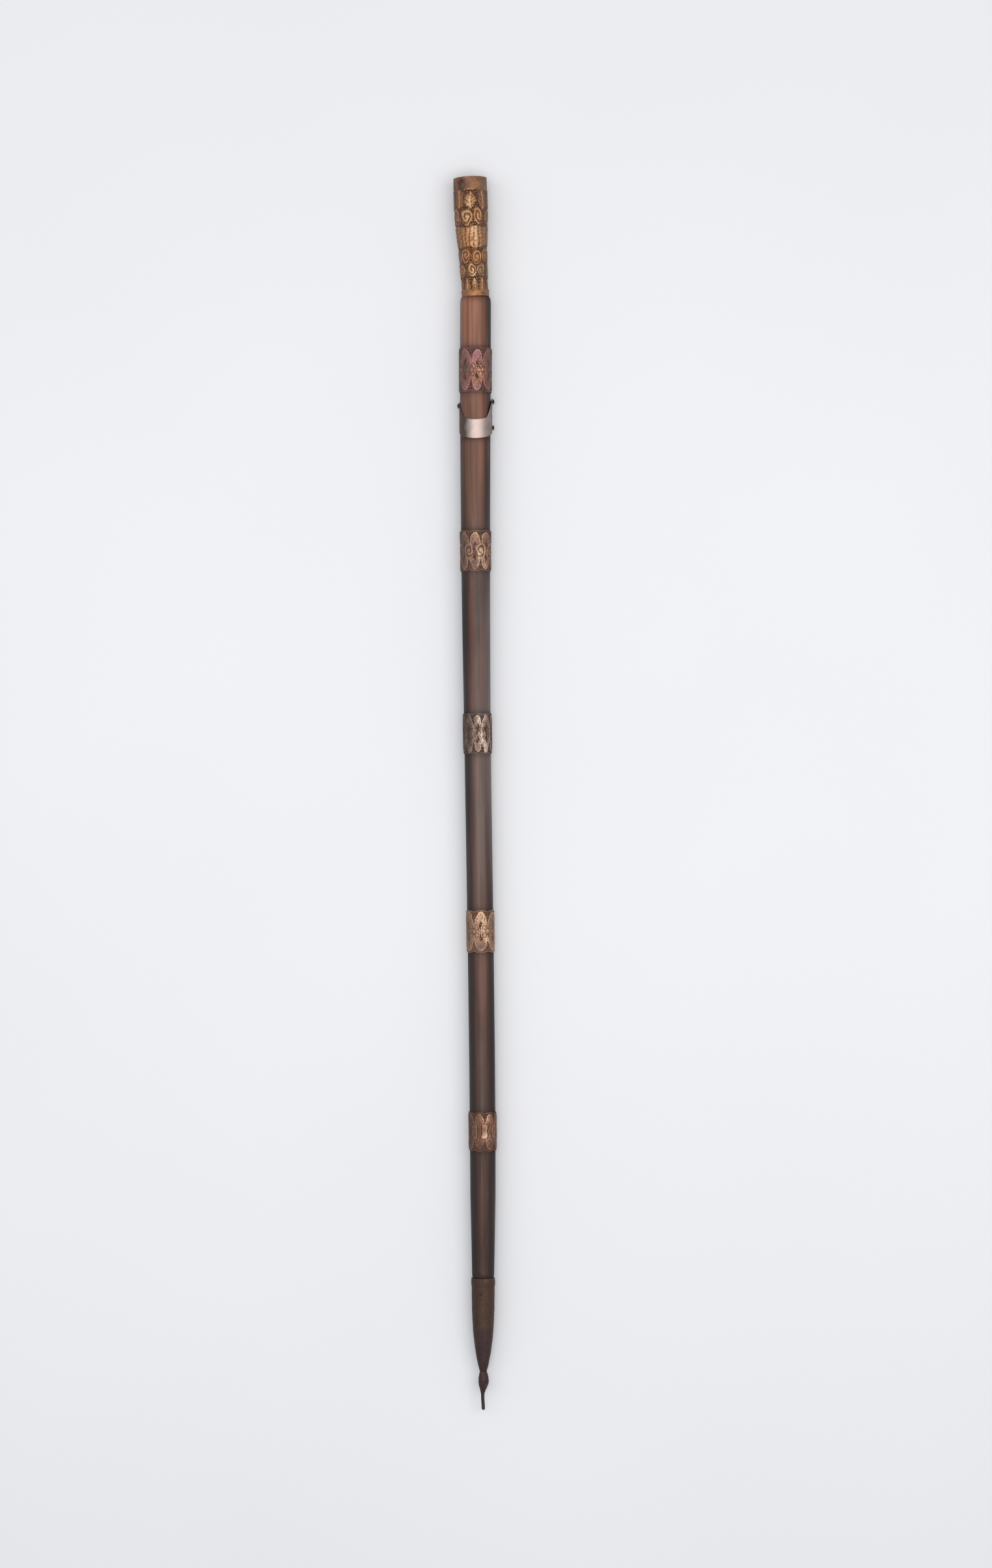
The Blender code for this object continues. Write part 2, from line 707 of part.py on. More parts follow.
def clear_scene():
    """Remove whatever objects the scene holds."""
    for item in list(bpy.data.objects):
        bpy.data.objects.remove(item, do_unlink=True)


def build():
    """Make every piece, lay the staff on the floor and centre it."""
    clear_scene()
    wood = finish("lacquered wood", (0.22, 0.105, 0.07), 0.35, 0.0)
    brass = finish("gilt brass", (0.45, 0.27, 0.13), 0.38, 1.0)
    silver = finish("silver", (0.62, 0.55, 0.52), 0.3, 1.0)
    iron = finish("rusted iron", (0.07, 0.045, 0.035), 0.6, 1.0)
    dark_iron = finish("dark iron", (0.05, 0.04, 0.04), 0.5, 1.0)
    band_colors = (
        (0.24, 0.12, 0.09),
        (0.26, 0.15, 0.10),
        (0.30, 0.24, 0.20),
        (0.42, 0.27, 0.18),
        (0.28, 0.15, 0.09),
    )

    staff = bpy.data.objects.new("staff", None)
    bpy.context.scene.collection.objects.link(staff)

    stick = shaft(wood)
    stick.parent = staff
    sleeve = handle_sleeve(brass)
    sleeve.parent = staff
    sleeve.matrix_local = handle_place()
    pieces = [stick, sleeve]

    lay_down(staff)
    slab = floor_cutter()
    for number, (span, color) in enumerate(zip(BANDS, band_colors), start=1):
        metal = finish(f"band {number} metal", color, 0.4, 1.0)
        piece = band(number, span, metal)
        seat(piece, staff, sum(span) / 2)
        if number in (1, len(BANDS)):
            flat = piece.modifiers.new("flat spot", "BOOLEAN")
            flat.operation = "DIFFERENCE"
            flat.object = slab
        pieces.append(piece)

    collar = silver_collar(silver)
    seat(collar, staff, COLLAR_MIDDLE)
    socket = ferrule(iron)
    socket.parent = staff
    socket.matrix_local = ferrule_place()
    point = spike(iron)
    point.parent = staff
    point.matrix_local = ferrule_place() @ Matrix.Translation((0.0, -FERRULE_LENGTH, 0.0))
    pieces += [collar, socket, point]
    fasteners(staff, stick, collar, socket, dark_iron)
    centre_on_origin(staff, pieces)


build()
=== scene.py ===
# %% [markdown]
# # A staff of office
# This notebook dresses a finished model of a ceremonial staff: a long tapering stick of
# lacquered wood with an embossed brass grip, five embossed bands, a silver collar with
# rivets, and an iron ferrule with a point. The plain solids are loaded first, as a frame.
# Every piece made here takes its size and place from them, in metres.

# %% Load the frame
import math

import bmesh
import bpy
import numpy as np
from mathutils import Matrix, Vector


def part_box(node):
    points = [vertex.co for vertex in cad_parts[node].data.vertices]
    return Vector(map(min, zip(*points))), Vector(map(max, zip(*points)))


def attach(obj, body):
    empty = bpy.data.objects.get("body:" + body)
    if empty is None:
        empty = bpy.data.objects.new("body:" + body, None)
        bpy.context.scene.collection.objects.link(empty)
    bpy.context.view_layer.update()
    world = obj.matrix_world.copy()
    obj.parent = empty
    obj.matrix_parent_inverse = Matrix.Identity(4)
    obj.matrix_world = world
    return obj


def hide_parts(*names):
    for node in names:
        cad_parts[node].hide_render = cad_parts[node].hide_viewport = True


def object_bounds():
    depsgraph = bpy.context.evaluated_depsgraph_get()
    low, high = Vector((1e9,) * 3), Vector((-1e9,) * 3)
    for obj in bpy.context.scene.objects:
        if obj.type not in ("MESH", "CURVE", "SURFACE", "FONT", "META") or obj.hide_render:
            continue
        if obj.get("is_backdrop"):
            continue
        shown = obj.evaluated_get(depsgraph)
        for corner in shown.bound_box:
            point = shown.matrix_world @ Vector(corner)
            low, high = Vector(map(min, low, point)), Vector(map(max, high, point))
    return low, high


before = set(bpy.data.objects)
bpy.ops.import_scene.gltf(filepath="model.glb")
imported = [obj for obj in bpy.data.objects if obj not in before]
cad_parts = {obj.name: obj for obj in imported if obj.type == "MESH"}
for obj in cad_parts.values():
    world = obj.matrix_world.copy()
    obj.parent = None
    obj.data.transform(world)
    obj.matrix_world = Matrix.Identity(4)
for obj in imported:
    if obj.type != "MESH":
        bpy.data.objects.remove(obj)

cad_low, cad_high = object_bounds()
print("nodes in the frame:", ", ".join(sorted(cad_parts)))

# %% [markdown]
# ## Reading the stick's line from the solids
# The stick tapers and wanders a little, and everything else sits round it. Its solid is
# made of rings of points. Sorting the points along Y and splitting them wherever there
# is a gap gives the rings back, each with a middle and a radius. A smooth curve through
# the middles is then the line that every fitting is threaded on.

# %% Find the stick's rings
RING_GAP = 0.00012
SHOULDER_HEIGHT = 0.0070
SHOULDER_DROP = 0.0013
SHOULDER_SHOWS = 0.0002
FACE_GAP = 0.0003
CLEARANCE = 0.00035


def ring_sections(node, least):
    """Rings of a solid as rows of y, middle x, middle z and radius, in order of y."""
    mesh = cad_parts[node].data
    points = np.empty(len(mesh.vertices) * 3)
    mesh.vertices.foreach_get("co", points)
    points = np.unique(points.reshape(-1, 3).round(6), axis=0)
    points = points[np.argsort(points[:, 1])]
    breaks = np.nonzero(np.diff(points[:, 1]) > RING_GAP)[0] + 1
    rings = []
    for group in np.split(points, breaks):
        if len(group) >= least:
            middle = (group.min(axis=0) + group.max(axis=0)) / 2
            radius = np.hypot(group[:, 0] - middle[0], group[:, 2] - middle[2]).max()
            rings.append((middle[1], middle[0], middle[2], radius))
    return np.array(rings)


mouth_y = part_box("ferrule")[1].y
foot_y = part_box("handle_sleeve")[0].y
wood = ring_sections("shaft", least=24)
bare = (wood[:, 0] > mouth_y - FACE_GAP) & (wood[:, 0] < foot_y - SHOULDER_HEIGHT / 2)
wood = wood[bare]
shoulder_y = float(wood[-1, 0]) + SHOULDER_HEIGHT + FACE_GAP
thinnest, thickest = wood[0, 3] * 1000, wood[-1, 3] * 1000
print(f"{len(wood)} rings of bare wood, radius {thinnest:.1f} to {thickest:.1f} mm")

# %% [markdown]
# A fitting sits square on the stick's line. Its place is a matrix: a move to a point of
# the line, a tilt up from the floor, and a turn to follow the line sideways.

# %% Seat a piece on the stick's line
bend = np.polynomial.Polynomial.fit(wood[:, 0], wood[:, 1], 6)
rise = np.polynomial.Polynomial.fit(wood[:, 0], wood[:, 2], 1)


def seat(y):
    """Matrix of a place on the stick's line, with its own Y along the stick."""
    turn = -math.atan(float(bend.deriv()(y)))
    tilt = math.atan(float(rise.deriv()(y)))
    spot = Matrix.Translation((float(bend(y)), float(y), float(rise(y))))
    return spot @ Matrix.Rotation(tilt, 4, "X") @ Matrix.Rotation(turn, 4, "Z")


def wood_radius(y):
    """Radius of the wood at y, without its rounded shoulder."""
    return np.interp(y, wood[:, 0], wood[:, 3])


line_start = [round(value * 1000, 1) for value in seat(shoulder_y).translation]
print("the line starts at", line_start, "mm")

# %% [markdown]
# ## Formulas that build nodes
# A material or a Geometry Nodes tree is a web of small nodes, which is hard to read as
# code. One small class helps: it holds a node's output and overloads the arithmetic
# operators, so that a formula in Python adds the Math nodes. Every other node comes
# from its one method, add.

# %% A socket that can be used in a formula
class Flow:
    """One node output in a tree. Arithmetic on it adds Math nodes."""

    def __init__(self, tree, socket=None):
        self.tree = tree
        self.socket = socket

    def add(self, kind, settings=None, sockets=None, output=0):
        """Add a node: first its settings, then the values or links of its sockets."""
        node = self.tree.nodes.new(kind)
        for name, setting in (settings or {}).items():
            if name == "stops":
                set_stops(node.color_ramp, setting)
            else:
                setattr(node, name, setting)
        for name, value in (sockets or {}).items():
            if isinstance(value, Flow):
                self.tree.links.new(value.socket, node.inputs[name])
            else:
                node.inputs[name].default_value = value
        return Flow(self.tree, node.outputs[output])

    def math(self, operation, *values):
        """Add one Math node."""
        return self.add("ShaderNodeMath", {"operation": operation}, dict(enumerate(values)))

    def __add__(self, other):
        return self.math("ADD", self, other)

    def __radd__(self, other):
        return self.math("ADD", other, self)

    def __sub__(self, other):
        return self.math("SUBTRACT", self, other)

    def __rsub__(self, other):
        return self.math("SUBTRACT", other, self)

    def __mul__(self, other):
        return self.math("MULTIPLY", self, other)

    def ramp(self, low, high):
        """0 below low, 1 above high and smooth between them."""
        sockets = {0: self, 1: low, 2: high, 3: 0.0, 4: 1.0}
        return self.add("ShaderNodeMapRange", {"interpolation_type": "SMOOTHSTEP"}, sockets)

    def mix(self, first, second):
        """A colour between two colours, with this value as the share of the second."""
        return self.add("ShaderNodeMix", {"data_type": "RGBA"}, {0: self, 6: first, 7: second}, 2)


def set_stops(ramp, stops):
    """Give a colour ramp its stops, a list of places and colours."""
    while len(ramp.elements) < len(stops):
        ramp.elements.new(0.5)
    for element, (place, color) in zip(ramp.elements, stops):
        element.position = place
        element.color = color


print("Flow adds a node for each of + - * and for ramp and mix")

# %% [markdown]
# Colours are easiest to name as they look on a screen, from 0 to 255, but nodes take
# linear light. One function turns the first into the second. Each finish then starts
# from a Principled shader whose constant values are set on its own sockets, and from the
# place on the object, which every noise is worked out from.

# %% Colours and finishes
def screen(red, green, blue):
    """A colour as it looks on a screen, 0 to 255, as the linear one that nodes take."""
    linear = []
    for part in (red, green, blue):
        share = part / 255
        linear.append(share / 12.92 if share <= 0.04045 else ((share + 0.055) / 1.055) ** 2.4)
    return (*linear, 1.0)


def new_finish(name, **constants):
    """A new material, its Principled shader with these values, and the place as a flow."""
    material = bpy.data.materials.new(name)
    material.use_nodes = True
    shader = material.node_tree.nodes["Principled BSDF"]
    for socket, value in constants.items():
        shader.inputs[socket.replace("_", " ")].default_value = value
    place = Flow(material.node_tree).add("ShaderNodeTexCoord", None, None, "Object")
    return material, shader, place


def feed(shader, **values):
    """Link flows into a shader's sockets."""
    for socket, value in values.items():
        value.tree.links.new(value.socket, shader.inputs[socket.replace("_", " ")])


def stretched_noise(place, across, along, scale, detail):
    """Noise on a place that is first stretched along the staff."""
    stretch = {0: place, 1: (across, along, across)}
    vector = place.add("ShaderNodeVectorMath", {"operation": "MULTIPLY"}, stretch)
    sockets = {"Vector": vector, "Scale": scale, "Detail": detail}
    return place.add("ShaderNodeTexNoise", None, sockets)


def bumped(height, strength, distance):
    """A normal that follows small heights."""
    sockets = {"Strength": strength, "Distance": distance, "Height": height}
    return height.add("ShaderNodeBump", None, sockets)


def painted(place, name):
    """A value kept on the mesh's points."""
    return place.add("ShaderNodeAttribute", {"attribute_name": name}, None, "Fac")


print("screen grey 128 is", round(screen(128, 128, 128)[0], 3), "in linear light")

# %% [markdown]
# ## From a grid of points to a mesh
# Grip, bands, collar and ferrule are all shells of revolution. Each is worked out as a
# grid: rows of points with the same number of points in each. The columns join up round
# the piece. The rows join into a loop where the shell is open at both ends, and close to
# a tip where it isn't. Where the volume comes out negative the faces point inwards, so
# they are turned round.

# %% Build a mesh from rows of points
def directions(count):
    """Evenly spaced angles, once round, as one row."""
    return np.linspace(0, 2 * np.pi, count, endpoint=False)[None, :]


def ring_rows(radii, angles, heights, middle=0.0):
    """Rows of points round the Y axis."""
    radii, angles, heights, middle = np.broadcast_arrays(radii, angles, heights, middle)
    return np.stack([middle + radii * np.cos(angles), heights, radii * np.sin(angles)], axis=-1)


def placed(place, rows):
    """Points moved by a matrix, and kept above the floor."""
    matrix = np.array(place)
    rows = rows @ matrix[:3, :3].T + matrix[:3, 3]
    rows[..., 2] = np.maximum(rows[..., 2], 0.0)
    return rows


def keep(mesh, name, values):
    """Keep one number on each point of a mesh."""
    layer = mesh.attributes.new(name, "FLOAT", "POINT")
    layer.data.foreach_set("value", np.asarray(values, np.float32))


def grid_mesh(name, rows, tips=None, **kept):
    """A closed skin over rows of points, with values kept on its points."""
    count, sides = rows.shape[:2]
    points = rows.reshape(-1, 3)
    index = np.arange(count * sides).reshape(count, sides)
    lower = index if tips is None else index[:-1]
    upper = np.roll(index, -1, axis=0)[: len(lower)]
    corners = [lower, np.roll(lower, -1, axis=1), np.roll(upper, -1, axis=1), upper]
    faces = np.stack(corners, axis=-1).reshape(-1, 4).tolist()
    if tips is not None:
        for number, row in enumerate((index[0][::-1], index[-1]), start=len(points)):
            edges = zip(row.tolist(), np.roll(row, -1).tolist())
            faces += [[first, second, number] for first, second in edges]
        points = np.vstack([points, tips])
    mesh = bpy.data.meshes.new(name)
    mesh.from_pydata(points.tolist(), [], faces)
    mesh.shade_smooth()
    for key, values in kept.items():
        flat = np.broadcast_to(values, (count, sides)).ravel()
        keep(mesh, key, np.append(flat, np.repeat(flat[-1], len(points) - len(flat))))
    face_outwards(mesh)
    return mesh


def face_outwards(mesh):
    """Turn a closed skin's faces round where they point inwards."""
    work = bmesh.new()
    work.from_mesh(mesh)
    if work.calc_volume(signed=True) < 0:
        mesh.flip_normals()
    work.free()


def add_object(name, data):
    """A new object in the scene."""
    made = bpy.data.objects.new(name, data)
    bpy.context.scene.collection.objects.link(made)
    return made


def new_piece(name, mesh, material, slot, *nodes):
    """Finish a piece: its mesh, its material and the solids that it stands for."""
    piece = add_object(name, mesh)
    mesh.materials.clear()
    mesh.materials.append(material)
    mesh.polygons.foreach_set("material_index", np.zeros(len(mesh.polygons), np.int32))
    # Every piece keeps painted shade for its sides, 0 on top and 1 at the sides.
    paint_flank_shade(mesh)
    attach(piece, "root")
    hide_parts(*nodes)
    triangles = sum(len(face.vertices) - 2 for face in mesh.polygons)
    print(f"{name}: {triangles} triangles")


print("mesh helpers ready")

# %% [markdown]
# ## Making pieces with Geometry Nodes
# A tree needs a mesh to start from, its inputs set by their identifiers, and a way out
# again as a plain mesh, because modifiers and instances are lost when a model is exported.
# These helpers start a tree, end it with real geometry in its own material, run it on a
# mesh and hand back the result.

# %% Start, end and run a tree
def new_tree(name, **inputs):
    """A Geometry Nodes tree with named inputs. Returns it with its inputs as flows."""
    tree = bpy.data.node_groups.new(name, "GeometryNodeTree")
    tree.interface.new_socket("Geometry", in_out="INPUT", socket_type="NodeSocketGeometry")
    tree.interface.new_socket("Geometry", in_out="OUTPUT", socket_type="NodeSocketGeometry")
    for label, kind in inputs.items():
        tree.interface.new_socket(label, in_out="INPUT", socket_type="NodeSocket" + kind)
    tree.interface.new_socket("Material", in_out="INPUT", socket_type="NodeSocketMaterial")
    start = tree.nodes.new("NodeGroupInput")
    given = {socket.name: Flow(tree, socket) for socket in start.outputs if socket.name}
    return tree, given


def end_tree(tree, given, shape):
    """Finish a tree: real geometry, shaded smooth, with its material."""
    shape = shape.add("GeometryNodeRealizeInstances", None, {"Geometry": shape})
    shape = shape.add("GeometryNodeSetShadeSmooth", None, {0: shape, "Shade Smooth": True})
    sockets = {"Geometry": shape, "Material": given["Material"]}
    shape = shape.add("GeometryNodeSetMaterial", None, sockets)
    end = tree.nodes.new("NodeGroupOutput")
    tree.links.new(shape.socket, end.inputs["Geometry"])
    return tree


def run_tree(tree, source, **values):
    """Put a tree on a mesh and return what it makes as a plain mesh."""
    holder = add_object(source.name + "_holder", source)
    modifier = holder.modifiers.new(tree.name, "NODES")
    modifier.node_group = tree
    for item in tree.interface.items_tree:
        if item.in_out == "INPUT" and item.name in values:
            modifier[item.identifier] = values[item.name]
    depsgraph = bpy.context.evaluated_depsgraph_get()
    mesh = bpy.data.meshes.new_from_object(holder.evaluated_get(depsgraph), depsgraph=depsgraph)
    holder.modifiers.remove(modifier)
    bpy.data.objects.remove(holder)
    return mesh


def line_mesh(name, points, closed=False, **kept):
    """A chain of edges through points, with values kept on them, for a tree to follow."""
    mesh = bpy.data.meshes.new(name)
    edges = [(place, place + 1) for place in range(len(points) - 1)]
    if closed:
        edges.append((len(points) - 1, 0))
    mesh.from_pydata([tuple(point) for point in points], edges, [])
    for key, values in kept.items():
        keep(mesh, key, values)
    return mesh


print("tree helpers ready")

# %% [markdown]
# Three things are needed in more than one tree: reading a value that is kept on the
# points, carrying a circle along a line, which makes sticks and wires, and pushing points
# a little way along their normals by noise, which takes the machine look off a surface.

# %% Parts that trees share
NOISE_LEVEL = 0.6


def kept_value(start, name, kind="FLOAT"):
    """A value kept on the points that a tree starts from."""
    return start.add("GeometryNodeInputNamedAttribute", {"data_type": kind}, {"Name": name})


def carry_circle(start, sides, radius, more=None):
    """A circle carried along a tree's line."""
    line = start.add("GeometryNodeMeshToCurve", None, {"Mesh": start})
    circle = {"Resolution": sides, "Radius": radius}
    profile = start.add("GeometryNodeCurvePrimitiveCircle", None, circle)
    sockets = {"Curve": line, "Profile Curve": profile, **(more or {})}
    return start.add("GeometryNodeCurveToMesh", None, sockets)


def push_by_noise(start, shape, place, fineness, amount, detail):
    """A shape with its points pushed along their normals by noise."""
    sockets = {"Vector": place, "Scale": fineness, "Detail": detail}
    height = (start.add("ShaderNodeTexNoise", None, sockets) - NOISE_LEVEL) * amount
    normal = start.add("GeometryNodeInputNormal")
    scaled = {0: normal, "Scale": height}
    push = start.add("ShaderNodeVectorMath", {"operation": "SCALE"}, scaled)
    return start.add("GeometryNodeSetPosition", None, {"Geometry": shape, "Offset": push})


print("shared parts ready")

# %% [markdown]
# ## Lacquered wood
# Old lacquer on hardwood is warm red brown near the grip, where hands polish it, and
# nearly black near the ground. Its grain runs along the stick, so the noise behind it
# is stretched along Y. The lacquer gives a soft gloss. Grime has settled beside every
# metal fitting. Painted shade darkens the sides and, more strongly, both edges, and about
# halfway down the right side a pale grey painted sheen stands for a reflection. The
# amount of each is a value that is kept on the mesh.

# %% The wood's finish
WOOD_TONES = (
    (0.00, screen(56, 34, 27)),
    (0.15, screen(72, 48, 36)),
    (0.30, screen(88, 60, 46)),
    (0.50, screen(96, 76, 68)),
    (0.70, screen(76, 54, 44)),
    (0.80, screen(124, 84, 64)),
    (1.00, screen(154, 98, 72)),
)


def lacquered_wood():
    """Red brown to dark brown lacquer with grain, streaks, grime and paler fibres."""
    lacquer = {"IOR": 1.36, "Coat_IOR": 1.4, "Coat_Roughness": 0.24}
    material, shader, place = new_finish("lacquered wood", **lacquer)
    along = place.add("ShaderNodeSeparateXYZ", None, {0: place}, "Y")
    length = along.add("ShaderNodeMapRange", None, {0: along, 1: mouth_y, 2: shoulder_y})
    tone = length.add("ShaderNodeValToRGB", {"stops": WOOD_TONES}, {0: length})
    streaks = stretched_noise(place, 1.0, 0.03, 300.0, 4.0).ramp(0.42, 0.68)
    clouds = stretched_noise(place, 1.0, 0.25, 45.0, 3.0).ramp(0.40, 0.72)
    reddish = stretched_noise(place, 1.0, 0.05, 130.0, 2.0).ramp(0.52, 0.70)
    fibres = stretched_noise(place, 1.0, 0.02, 1700.0, 3.0)
    grime = painted(place, "grime")
    flank = painted(place, "flank")
    bloom = painted(place, "bloom")
    old_coat = painted(place, "old_coat") * (1 - reddish * 0.4)
    color = (streaks * 0.45).mix(tone, screen(48, 31, 26))
    color = (clouds * 0.30).mix(color, screen(50, 39, 36))
    color = (reddish * 0.28).mix(color, screen(132, 70, 50))
    color = (fibres.ramp(0.56, 0.78) * 0.20).mix(color, screen(150, 122, 106))
    # Painted shade: the sides and underside darken towards a dark brown.
    color = (flank * 0.80).mix(color, screen(44, 33, 33))
    # Painted sheen: a pale grey stands for a reflection halfway down the right side.
    color = (bloom * 0.40).mix(color, screen(116, 110, 110))
    # Painted shade: both edges darken further, broken where the reddish streaks show.
    color = (old_coat * 0.90).mix(color, screen(32, 23, 23))
    color = (grime * 0.8).mix(color, screen(36, 26, 22))
    roughness = 0.36 + clouds * 0.14 + fibres * 0.10 + grime * 0.25 + flank * 0.10
    bump = bumped(fibres * 0.4 + streaks * 0.6, 0.2, 0.0004)
    gloss = (0.30 - clouds * 0.20) * (1 - old_coat)
    feed(shader, Base_Color=color, Roughness=roughness, Coat_Weight=gloss, Normal=bump)
    return material


WOOD = lacquered_wood()
print("made", WOOD.name)

# %% [markdown]
# ## The stick
# The stick is the main piece, and its shape follows a rule: a circle is carried along a
# line, and grows and shrinks on the way. Curve to Mesh does that. The line runs from
# inside the grip, over a rounded shoulder, down to the socket of the ferrule. Hand
# scraping leaves long shallow ripples, so the tree then moves each point a little along
# its normal.

# %% The grip's own place and bore, which the stick's neck fills
HANDLE_LENGTH = 0.1108
HANDLE_LEAN = math.radians(2.8)
HANDLE_BOW = 0.0006
HANDLE_WALL = 0.0009
HANDLE_TOP_WALL = 0.0015
HANDLE_FOOT_HEIGHT = 0.0060
HANDLE_RIM_HEIGHT = 0.0125
HANDLE_RIM_DIAMETER = 0.0313
HANDLE_STEP = 0.0016
GRIP_DIAMETERS = (0.0238, 0.0244, 0.0256, 0.0283, 0.0299, 0.0301)

grip_place = seat(shoulder_y) @ Matrix.Rotation(HANDLE_LEAN, 4, "Z")


def fade(low, high, value):
    """Rise smoothly from 0 at low to 1 at high."""
    share = np.clip((value - low) / (high - low), 0.0, 1.0)
    return share * share * (3 - 2 * share)


def smooth_through(values, share):
    """Read evenly spaced values at a share of the way, along a smooth curve."""
    values = np.asarray(values)
    last = len(values) - 1
    place = np.clip(share, 0.0, 1.0) * last
    index = np.minimum(place.astype(int), last - 1)
    t = place - index
    before, here = values[np.maximum(index - 1, 0)], values[index]
    after, beyond = values[index + 1], values[np.minimum(index + 2, last)]
    linear = (after - before) * t
    square = (2 * before - 5 * here + 4 * after - beyond) * t ** 2
    cube = (3 * here - before - 3 * after + beyond) * t ** 3
    return 0.5 * (2 * here + linear + square + cube)


def grip_share(height):
    """How far a height is between the grip's plain foot and its plain rim."""
    return (height - HANDLE_FOOT_HEIGHT) / (HANDLE_LENGTH - HANDLE_FOOT_HEIGHT - HANDLE_RIM_HEIGHT)


def handle_ground(height):
    """Radius of the grip under its relief, at a height above its foot."""
    height = np.asarray(height, float)
    grip = smooth_through(GRIP_DIAMETERS, grip_share(height)) / 2
    edge = HANDLE_STEP / 2
    foot = 1 - fade(HANDLE_FOOT_HEIGHT - edge, HANDLE_FOOT_HEIGHT + edge, height)
    foot_radius = wood_radius(shoulder_y) - SHOULDER_DROP - SHOULDER_SHOWS
    rim_start = HANDLE_LENGTH - HANDLE_RIM_HEIGHT
    rim = fade(rim_start - edge, rim_start + edge, height)
    return grip + foot * (foot_radius - grip) + rim * (HANDLE_RIM_DIAMETER / 2 - grip)


def handle_middle(height):
    """Sideways bow of the grip's own axis."""
    share = np.asarray(height) / HANDLE_LENGTH
    return -HANDLE_BOW * 4 * share * (1 - share)


print(f"the grip is {handle_ground(0.0) * 2000:.1f} mm wide at its foot")

# %% [markdown]
# The ferrule is a socket that rounds in towards its tip, and the wood's lower end fills
# it, so its outline is needed here too.

# %% The line through the stick, with its radius
FERRULE_LENGTH = 0.0870
FERRULE_PROUD = 0.0005
FERRULE_TIP_DIAMETER = 0.0070
FERRULE_ROUNDING = 3.2
FERRULE_WALL = 0.0012
FERRULE_SOLID_TIP = 0.0270
SOCKET_DEPTH = FERRULE_LENGTH - FERRULE_SOLID_TIP
STICK_STEP = 0.0025
NECK_POINTS = 24
SHOULDER_POINTS = 12
SOCKET_POINTS = 16

ferrule_place = seat(mouth_y)


def ferrule_radius(depth):
    """Outer radius of the ferrule's body at a depth below its mouth."""
    body = wood_radius(mouth_y) + FERRULE_PROUD
    share = np.clip(np.asarray(depth) / FERRULE_LENGTH, 0.0, 1.0)
    return body - (body - FERRULE_TIP_DIAMETER / 2) * share ** FERRULE_ROUNDING


def stick_line():
    """Points along the stick's line from inside the grip to inside the ferrule, and radii."""
    points = []
    radii = []
    for height in np.linspace(HANDLE_LENGTH - HANDLE_TOP_WALL - FACE_GAP, 0.0, NECK_POINTS):
        points.append(grip_place @ Vector((float(handle_middle(height)), float(height), 0.0)))
        radii.append(float(handle_ground(height)) - HANDLE_WALL - CLEARANCE)
    shares = np.linspace(0, 1, SHOULDER_POINTS)
    downs = [FACE_GAP + SHOULDER_HEIGHT * share ** 2 for share in shares]
    downs += list(np.arange(downs[-1] + STICK_STEP, shoulder_y - mouth_y - FACE_GAP, STICK_STEP))
    for down in downs:
        over = 1 - math.sqrt(1 - max(1 - (down - FACE_GAP) / SHOULDER_HEIGHT, 0.0) ** 2)
        points.append(seat(shoulder_y - down).translation)
        radii.append(float(wood_radius(shoulder_y - down)) - SHOULDER_DROP * over)
    for depth in np.linspace(0.0, SOCKET_DEPTH - FACE_GAP, SOCKET_POINTS):
        points.append(ferrule_place @ Vector((0.0, -float(depth), 0.0)))
        radii.append(float(ferrule_radius(depth)) - FERRULE_WALL - CLEARANCE)
    return points, radii


stick_points, stick_radii = stick_line()
print(len(stick_points), "points along the stick")

# %% [markdown]
# The top of the staff is left bright, while its sides and underside are darkened by
# painted shade. Every piece therefore carries a value that is 0 on top and rises to 1 at
# the sides. It comes from the angle of each point round the staff's middle line, which is
# straight inside the grip and inside the ferrule. The brightest side isn't straight along
# the staff: it turns a little from its left to its right on the way down.

# %% How far round the staff a point is
BRIGHTEST_SIDE_LOW = (0.10, math.radians(68))
BRIGHTEST_SIDE_HIGH = (0.44, math.radians(96))


def point_places(mesh):
    """Places of a mesh's points, one row each."""
    places = np.empty(len(mesh.vertices) * 3)
    mesh.vertices.foreach_get("co", places)
    return places.reshape(-1, 3)


def angle_round_staff(places):
    """Angles of points round the staff's middle line."""
    y = places[:, 1]
    middle = bend(np.clip(y, mouth_y, shoulder_y))
    for end, beyond in ((grip_place, y > shoulder_y), (ferrule_place, y < mouth_y)):
        slope = end.col[1].x / end.col[1].y
        middle = middle + np.where(beyond, (y - end.translation.y) * slope, 0.0)
    return np.arctan2(places[:, 2] - rise(y), places[:, 0] - middle)


def paint_flank_shade(mesh):
    """Keep on a mesh its painted shade: 0 on the brightest top, rising to 1 at the sides."""
    places = point_places(mesh)
    brightest = np.interp(places[:, 1], *zip(BRIGHTEST_SIDE_LOW, BRIGHTEST_SIDE_HIGH))
    keep(mesh, "flank", 1 - fade(-0.05, 1.0, np.cos(angle_round_staff(places) - brightest)))


for height, side in (BRIGHTEST_SIDE_LOW, BRIGHTEST_SIDE_HIGH):
    print(f"at {height} m the polished side faces {math.degrees(side):.0f} degrees")

# %% [markdown]
# The tree reads each point's radius from the line, carries the circle, and adds the
# ripples. The noise is squeezed along Y so that they run lengthwise. What the wood's
# finish needs is kept on the mesh afterwards: the grime by the distance to the nearest
# fitting, the painted edge shade and the painted sheen by the place round and along
# the stick.

# %% Carry a circle along the stick's line
STICK_SIDES = 96
RIPPLE_HEIGHT = 0.00022
RIPPLE_FINENESS = 60.0
RIPPLE_SQUEEZE = (1.0, 0.12, 1.0)
FITTINGS = ("handle_sleeve", "band_1", "band_2", "band_3", "band_4", "band_5", "ferrule")
GRIME_REACH = 0.0022
EDGE_SHADE_LEFT = ((-0.05, 1.0), (0.28, 0.8), (0.40, 0.0))
EDGE_SHADE_RIGHT = ((-0.14, 1.0), (0.00, 0.2), (0.16, 0.0), (0.26, 1.0))
SHEEN_MIDDLE = 0.09
SHEEN_REACH = 0.13


